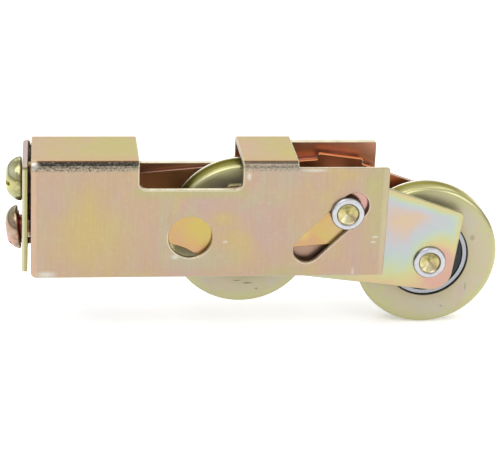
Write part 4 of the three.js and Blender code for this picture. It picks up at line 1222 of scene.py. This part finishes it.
for side in ("left", "right"):
    T = Matrix.Translation(AXLE[side])
    ws, cs = side + "_wheel_set", side + "_cage_set"
    m = Mesh()
    lathe(m, wheel_nodes(), 180)
    piece(m, side + "_wheel_grooved", "wheel", ws, side + "_wheel", T)
    m = Mesh()
    lathe(m, loop2d([(9.86, -3.5, 0.12, 3), (11.03, -3.5, 0.12, 4), (11.03, 3.5, 0.12, 4), (9.86, 3.5, 0.12, 3), (9.86, 2.3), (9.2, 2.1), (9.2, 1.35),
                     (9.42, 0.9), (9.52, 0.3), (9.52, -0.3), (9.42, -0.9), (9.2, -1.35), (9.2, -2.1), (9.86, -2.3)]), 144)
    piece(m, side + "_bearing_outer_ring_ground", "ring", ws, side + "_bearing_outer_ring", T)
    m = Mesh()
    lathe(m, loop2d([(4.0, -3.5, 0.25, 4), (6.05, -3.5, 0.15, 3), (6.05, -1.35), (5.7, -0.9), (5.55, 0.0), (5.7, 0.9), (6.05, 1.35), (6.05, 3.5, 0.15, 3), (4.0, 3.5, 0.25, 4)]), 96)
    piece(m, side + "_bearing_inner_ring_ground", "ring", "carriage", side + "_bearing_inner_ring", T)
    for s, word in ((-1, "front"), (1, "rear")):
        m = Mesh()
        pr = [(6.2, 2.62), (6.2, 3.0, 0.1, 3), (6.6, 3.1, 0.15, 3), (7.0, 2.95, 0.3, 3), (8.7, 2.95, 0.3, 3), (9.25, 3.1, 0.15, 3), (9.8, 3.1, 0.1, 3), (9.8, 2.62)]
        pr = [(p[0], s * p[1]) + tuple(p[2:]) for p in pr]
        lathe(m, loop2d(pr), 120)
        piece(m, "%s_bearing_seal_%s_moulded" % (side, word), "seal", ws, "%s_bearing_seal_%s" % (side, word), T)
    # crown cage: a ring with seven ball pockets
    m = Mesh()
    seg, rows = 140, 8
    for k in range(seg):
        for j in range(rows):
            quad_out, quad_in = [], []
            for kk, jj in ((k, j), (k + 1, j), (k + 1, j + 1), (k, j + 1)):
                a = 2 * math.pi * kk / seg
                ph = (a * 7 / (2 * math.pi) + 0.5) % 1.0 - 0.5
                arc = abs(ph) * 2 * math.pi / 7 * 7.5
                top = 2.2 if arc > 2.1 else 2.2 - (2.2 - (-0.95)) * 1.0
                dip = -math.sqrt(max(0.0, 2.12 ** 2 - arc ** 2)) if arc < 2.12 else None
                hi = 2.2 if dip is None else max(-1.4, dip) + 0.0
                h = -1.6 + (hi + 1.6) * jj / rows
                quad_out.append(Vector((8.05 * math.cos(a), h, 8.05 * math.sin(a))))
                quad_in.append(Vector((6.95 * math.cos(a), h, 6.95 * math.sin(a))))
            n_o = [Vector((p.x, 0, p.z)).normalized() for p in quad_out]
            m.face(quad_out, n_o)
            m.face(quad_in, [-n for n in n_o])
            if j == rows - 1:
                m.face([quad_out[3], quad_out[2], quad_in[2], quad_in[3]], [Vector((0, 1, 0))] * 4)
            if j == 0:
                m.face([quad_out[0], quad_out[1], quad_in[1], quad_in[0]], [Vector((0, -1, 0))] * 4)
    piece(m, side + "_bearing_cage_moulded", "cage", cs, side + "_bearing_cage", T)
    for k in range(1, 8):
        node = "%s_bearing_ball_%d" % (side, k)
        lo, hi = (v * 1000 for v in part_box(node))
        m = Mesh()
        arc = [(1.9 * math.sin(math.pi * j / 24), 1.9 * math.cos(math.pi * j / 24)) for j in range(25)]
        arc[0], arc[-1] = (0.0, 1.9), (0.0, -1.9)
        nodes = [(p[0], p[1], (p[0] / 1.9, p[1] / 1.9), (p[0] / 1.9, p[1] / 1.9)) for p in arc]
        lathe(m, nodes, 40)
        piece(m, node + "_lapped", "ball", cs, node, Matrix.Translation((lo + hi) / 2))


# ------------------------------------------------------------------ screws
def threaded(mesh, x0, x1, crest, root, pitch, seg=40, taper=0.8):
    """A helical thread round X from x0 to x1, with a pointed-off end."""
    steps = int((x1 - x0) / pitch * 9)
    grid = []
    for i in range(steps + 1):
        x = x0 + (x1 - x0) * i / steps
        row = []
        for k in range(seg):
            a = 2 * math.pi * k / seg
            r = thread_radius(x, a, pitch, root, crest)
            end = x1 - x
            if end < taper:
                r = min(r, crest - (taper - end) * 0.9)
            start = x - x0
            if start < 0.7:
                r = min(r, root + (crest - root) * start / 0.7 + 0.02)
            row.append((Vector((x, r * math.cos(a), r * math.sin(a))), r))
        grid.append(row)

    def nrm(i, k):
        i0, i1 = max(0, i - 1), min(steps, i + 1)
        dx = grid[i1][k][0] - grid[i0][k][0]
        da = grid[i][(k + 1) % seg][0] - grid[i][k - 1][0]
        n = dx.cross(da)
        p = grid[i][k][0]
        return (n if n.dot(Vector((0, p.y, p.z))) > 0 else -n).normalized()

    for i in range(steps):
        for k in range(seg):
            q = [(i, k), (i + 1, k), (i + 1, (k + 1) % seg), (i, (k + 1) % seg)]
            mesh.face([grid[a][b][0] for a, b in q], [nrm(a, b) for a, b in q], 0,
                      [(grid[a][b][1], grid[a][b][0].x) for a, b in q])
    for i, s in ((0, -1), (steps, 1)):
        c = Vector((grid[i][0][0].x, 0, 0))
        for k in range(seg):
            mesh.face([c, grid[i][k][0], grid[i][(k + 1) % seg][0]], [Vector((s, 0, 0))] * 3)


def screw(name, seat, head, x1, turn, body, mat, matrix, collar_to=None):
    """Pan head with a combined slot and cross recess, over a threaded shank."""
    r = 5.65
    top = seat - head
    prof = [(0.0, 0.0), (1.3, 0.03), (2.4, 0.14), (3.2, 0.36), (3.85, 0.72), (4.4, 1.18), (4.85, 1.68), (5.22, 2.2), (5.48, 2.75)]
    k = head / 4.25
    pts = [(a, top + b * k) for a, b in prof] + [(5.66, seat - 0.95 * k), (5.74, seat - 0.6 * k), (5.70, seat - 0.28), (5.5, seat - 0.08), (5.2, seat), (0.0, seat)]
    m = Mesh()
    lathe(m, smooth_loop(pts, True, 50), 96, "X")
    head_o = m.build(name + "_headtmp", Matrix.Identity(4))
    cut = Mesh()

    def block(hx, hy, hz):
        c = [Vector((top + sx * hx, sy * hy, sz * hz)) for sx in (-1, 1) for sy in (-1, 1) for sz in (-1, 1)]
        for q, n in (((0, 1, 3, 2), (-1, 0, 0)), ((4, 5, 7, 6), (1, 0, 0)), ((0, 1, 5, 4), (0, -1, 0)),
                     ((2, 3, 7, 6), (0, 1, 0)), ((0, 2, 6, 4), (0, 0, -1)), ((1, 3, 7, 5), (0, 0, 1))):
            mm.face([c[i] for i in q], [Vector(n)] * 4)

    cutters = []
    for dims in ((1.15, 9.0, 0.5), (1.9, 0.5, 2.9), (2.3, 0.5, 0.5)):
        mm = Mesh()
        block(*dims)
        co = mm.build(name + "_cut", Matrix.Rotation(turn, 4, "X"))
        cutters.append(co)
    for co in cutters:
        mod = head_o.modifiers.new("b", "BOOLEAN")
        mod.operation = "DIFFERENCE"
        mod.solver = "EXACT"
        mod.object = co
    dg = bpy.context.evaluated_depsgraph_get()
    dg.update()
    hd = bpy.data.meshes.new_from_object(head_o.evaluated_get(dg))
    for o in cutters + [head_o]:
        bpy.data.objects.remove(o)
    full = Mesh()
    neck = 0.0 if collar_to is None else collar_to - seat
    if collar_to is not None:
        lathe(full, loop2d([(0.0, seat - 0.1), (2.9, seat - 0.1), (2.9, collar_to, 0.2, 3), (0.0, collar_to)]), 48, "X")
    threaded(full, seat + neck - 0.1, x1, 2.9, 2.38, 1.0)
    verts = [v.co / MM for v in hd.vertices]
    faces = [list(p.vertices) for p in hd.polygons]
    me = bpy.data.meshes.new(name)
    base = len(full.v)
    me.from_pydata([(matrix @ p) * MM for p in full.v + verts], [], full.f + [[i + base for i in f] for f in faces])
    me.polygons.foreach_set("use_smooth", [True] * len(me.polygons))
    me.update()
    me.set_sharp_from_angle(angle=math.radians(40))
    for an in ("r_mm", "h_mm"):
        a = me.attributes.new(an, "FLOAT", "POINT")
        vals = [math.hypot(p.y, p.z) if an == "r_mm" else p.x for p in full.v + verts]
        a.data.foreach_set("value", vals)
    o = bpy.data.objects.new(name + "_threaded", me)
    bpy.context.scene.collection.objects.link(o)
    return piece(o, None, mat, body, name)


screw("mounting_screw", 0.0, 4.25, 13.0, 0.0, "housing", "screw_a", MSCREW)
screw("adjusting_screw", -1.74, 3.55, 21.5, math.pi / 4, "screw", "screw_b", SCREW, 2.4)

m = Mesh()
lathe(m, loop2d([(2.95, -1.72, 0.05, 2), (4.25, -1.72, 0.08, 3), (4.25, -1.56, 0.08, 3), (3.16, -1.50, 0.05, 2), (3.12, -0.85, 0.1, 3), (2.95, -0.85, 0.03, 2)]), 72, "X")
piece(m, "thrust_washer_pressed", "washer", "screw_swivel", "thrust_washer", SCREW)

# retaining ring: a split ring
m = Mesh()
ring_pts, g0 = [], 0.36
for k in range(49):
    a = g0 + (2 * math.pi - 2 * g0) * k / 48
    ring_pts.append((4.3 * math.cos(a), 4.3 * math.sin(a)))
for k in range(49):
    a = g0 + (2 * math.pi - 2 * g0) * (48 - k) / 48
    ring_pts.append((2.97 * math.cos(a), 2.97 * math.sin(a)))
sheet(m, [smooth_loop(ring_pts)], 1.3, 1.95, 0.12, lambda u, v, t, n: (Vector((t, u, v)), Vector((n[2], n[0], n[1]))))
piece(m, "retaining_ring_split", "dark", "screw", "retaining_ring", SCREW)

# ------------------------------------------------------------------ stage, light, camera
floor_z = cad_box[0][2] - 0.0002
fm = bpy.data.meshes.new("floor")
# the floor keeps one wheel radius under the lower axle, so it always carries the lower wheel
low_axle = min(AXLE["left"].z, AXLE["right"].z) * MM
drop = floor_z - low_axle
fm.from_pydata([(-4, -4, drop), (4, -4, drop), (4, 4, drop), (-4, 4, drop)], [], [(0, 1, 2, 3)])
floor = bpy.data.objects.new("floor", fm)
bpy.context.scene.collection.objects.link(floor)
height = floor.driver_add("location", 2).driver
height.type = "MIN"
for side in ("left", "right"):
    mark = bpy.data.objects.new(side + "_floor_mark", None)
    mark.empty_display_size = 0.002
    mark.location = AXLE[side] * MM
    bpy.context.scene.collection.objects.link(mark)
    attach(mark, "carriage")
    var = height.variables.new()
    var.name = side
    var.type = "TRANSFORMS"
    var.targets[0].id = mark
    var.targets[0].transform_type = "LOC_Z"
    var.targets[0].transform_space = "WORLD_SPACE"
g = Nodes("floor_pale")
tc = g.t.nodes.new("ShaderNodeTexCoord")
fn = g.noise(tc.outputs["Object"], 6.0, 3.0)
floor.data.materials.append(g.shade(g.mix(fn, (0.90, 0.90, 0.90), (0.93, 0.93, 0.925)), 0.7, 0.0, spec=0.2))
glow = [n for n in g.t.nodes if n.type == "BSDF_PRINCIPLED"][0]
glow.inputs["Emission Color"].default_value = (1.0, 1.0, 1.0, 1)
glow.inputs["Emission Strength"].default_value = 0.34

world = bpy.data.worlds.new("studio")
bpy.context.scene.world = world
world.use_nodes = True
wt = world.node_tree
wt.nodes.clear()
wo = wt.nodes.new("ShaderNodeOutputWorld")
bg = wt.nodes.new("ShaderNodeBackground")
tcw = wt.nodes.new("ShaderNodeTexCoord")
sep = wt.nodes.new("ShaderNodeSeparateXYZ")
wt.links.new(tcw.outputs["Generated"], sep.inputs[0])
rampw = wt.nodes.new("ShaderNodeValToRGB")
rampw.color_ramp.interpolation = "EASE"
els = rampw.color_ramp.elements
els[0].position, els[0].color = 0.0, (0.32, 0.32, 0.33, 1)
els[1].position, els[1].color = 1.0, (0.95, 0.95, 0.95, 1)
e = els.new(0.30)
e.color = (0.75, 0.75, 0.75, 1)
wt.links.new(sep.outputs[2], rampw.inputs[0])
lp = wt.nodes.new("ShaderNodeLightPath")
mixw = wt.nodes.new("ShaderNodeMix")
mixw.data_type = "RGBA"
wt.links.new(lp.outputs["Is Camera Ray"], mixw.inputs[0])
wt.links.new(rampw.outputs[0], mixw.inputs[6])
mixw.inputs[7].default_value = (0.94, 0.94, 0.94, 1)
wt.links.new(mixw.outputs[2], bg.inputs[0])
bg.inputs[1].default_value = 1.08
wt.links.new(bg.outputs[0], wo.inputs[0])


def softbox(name, loc, size, power, target=(0.04, 0.0, -0.02), color=(1, 1, 1)):
    li = bpy.data.lights.new(name, "AREA")
    li.shape = "RECTANGLE"
    li.size, li.size_y = size
    li.energy = power
    li.color = color
    o = bpy.data.objects.new(name, li)
    o.location = loc
    o.rotation_mode = "QUATERNION"
    o.rotation_quaternion = (Vector(target) - Vector(loc)).to_track_quat("-Z", "Y")
    bpy.context.scene.collection.objects.link(o)
    return o


softbox("key", (-0.25, -0.25, 0.75), (0.7, 0.7), 2.6)
softbox("fill", (0.55, -0.45, 0.35), (0.35, 0.5), 1.0)
softbox("back", (0.05, 0.65, 0.45), (0.9, 0.35), 1.0)

cam_d = bpy.data.cameras.new("camera")
cam = bpy.data.objects.new("camera", cam_d)
bpy.context.scene.collection.objects.link(cam)
pitch, yaw, roll = 0.371947, 0.119087, 0.0371948
F = Vector((math.sin(yaw) * math.cos(pitch), math.cos(yaw) * math.cos(pitch), -math.sin(pitch)))
R0 = F.cross(Vector((0, 0, 1))).normalized()
U0 = R0.cross(F).normalized()
RR = R0 * math.cos(roll) + U0 * math.sin(roll)
UU = U0 * math.cos(roll) - R0 * math.sin(roll)
cam.matrix_world = Matrix(((RR.x, UU.x, -F.x, -0.0092813), (RR.y, UU.y, -F.y, -0.4426092), (RR.z, UU.z, -F.z, 0.1514561), (0, 0, 0, 1)))
cam_d.sensor_width = 36
cam_d.lens = 1811.19 * 36 / 500
cam_d.clip_start, cam_d.clip_end = 0.01, 20
bpy.context.scene.camera = cam
bpy.context.scene.view_settings.view_transform = "Standard"
bpy.context.scene.view_settings.look = "None"
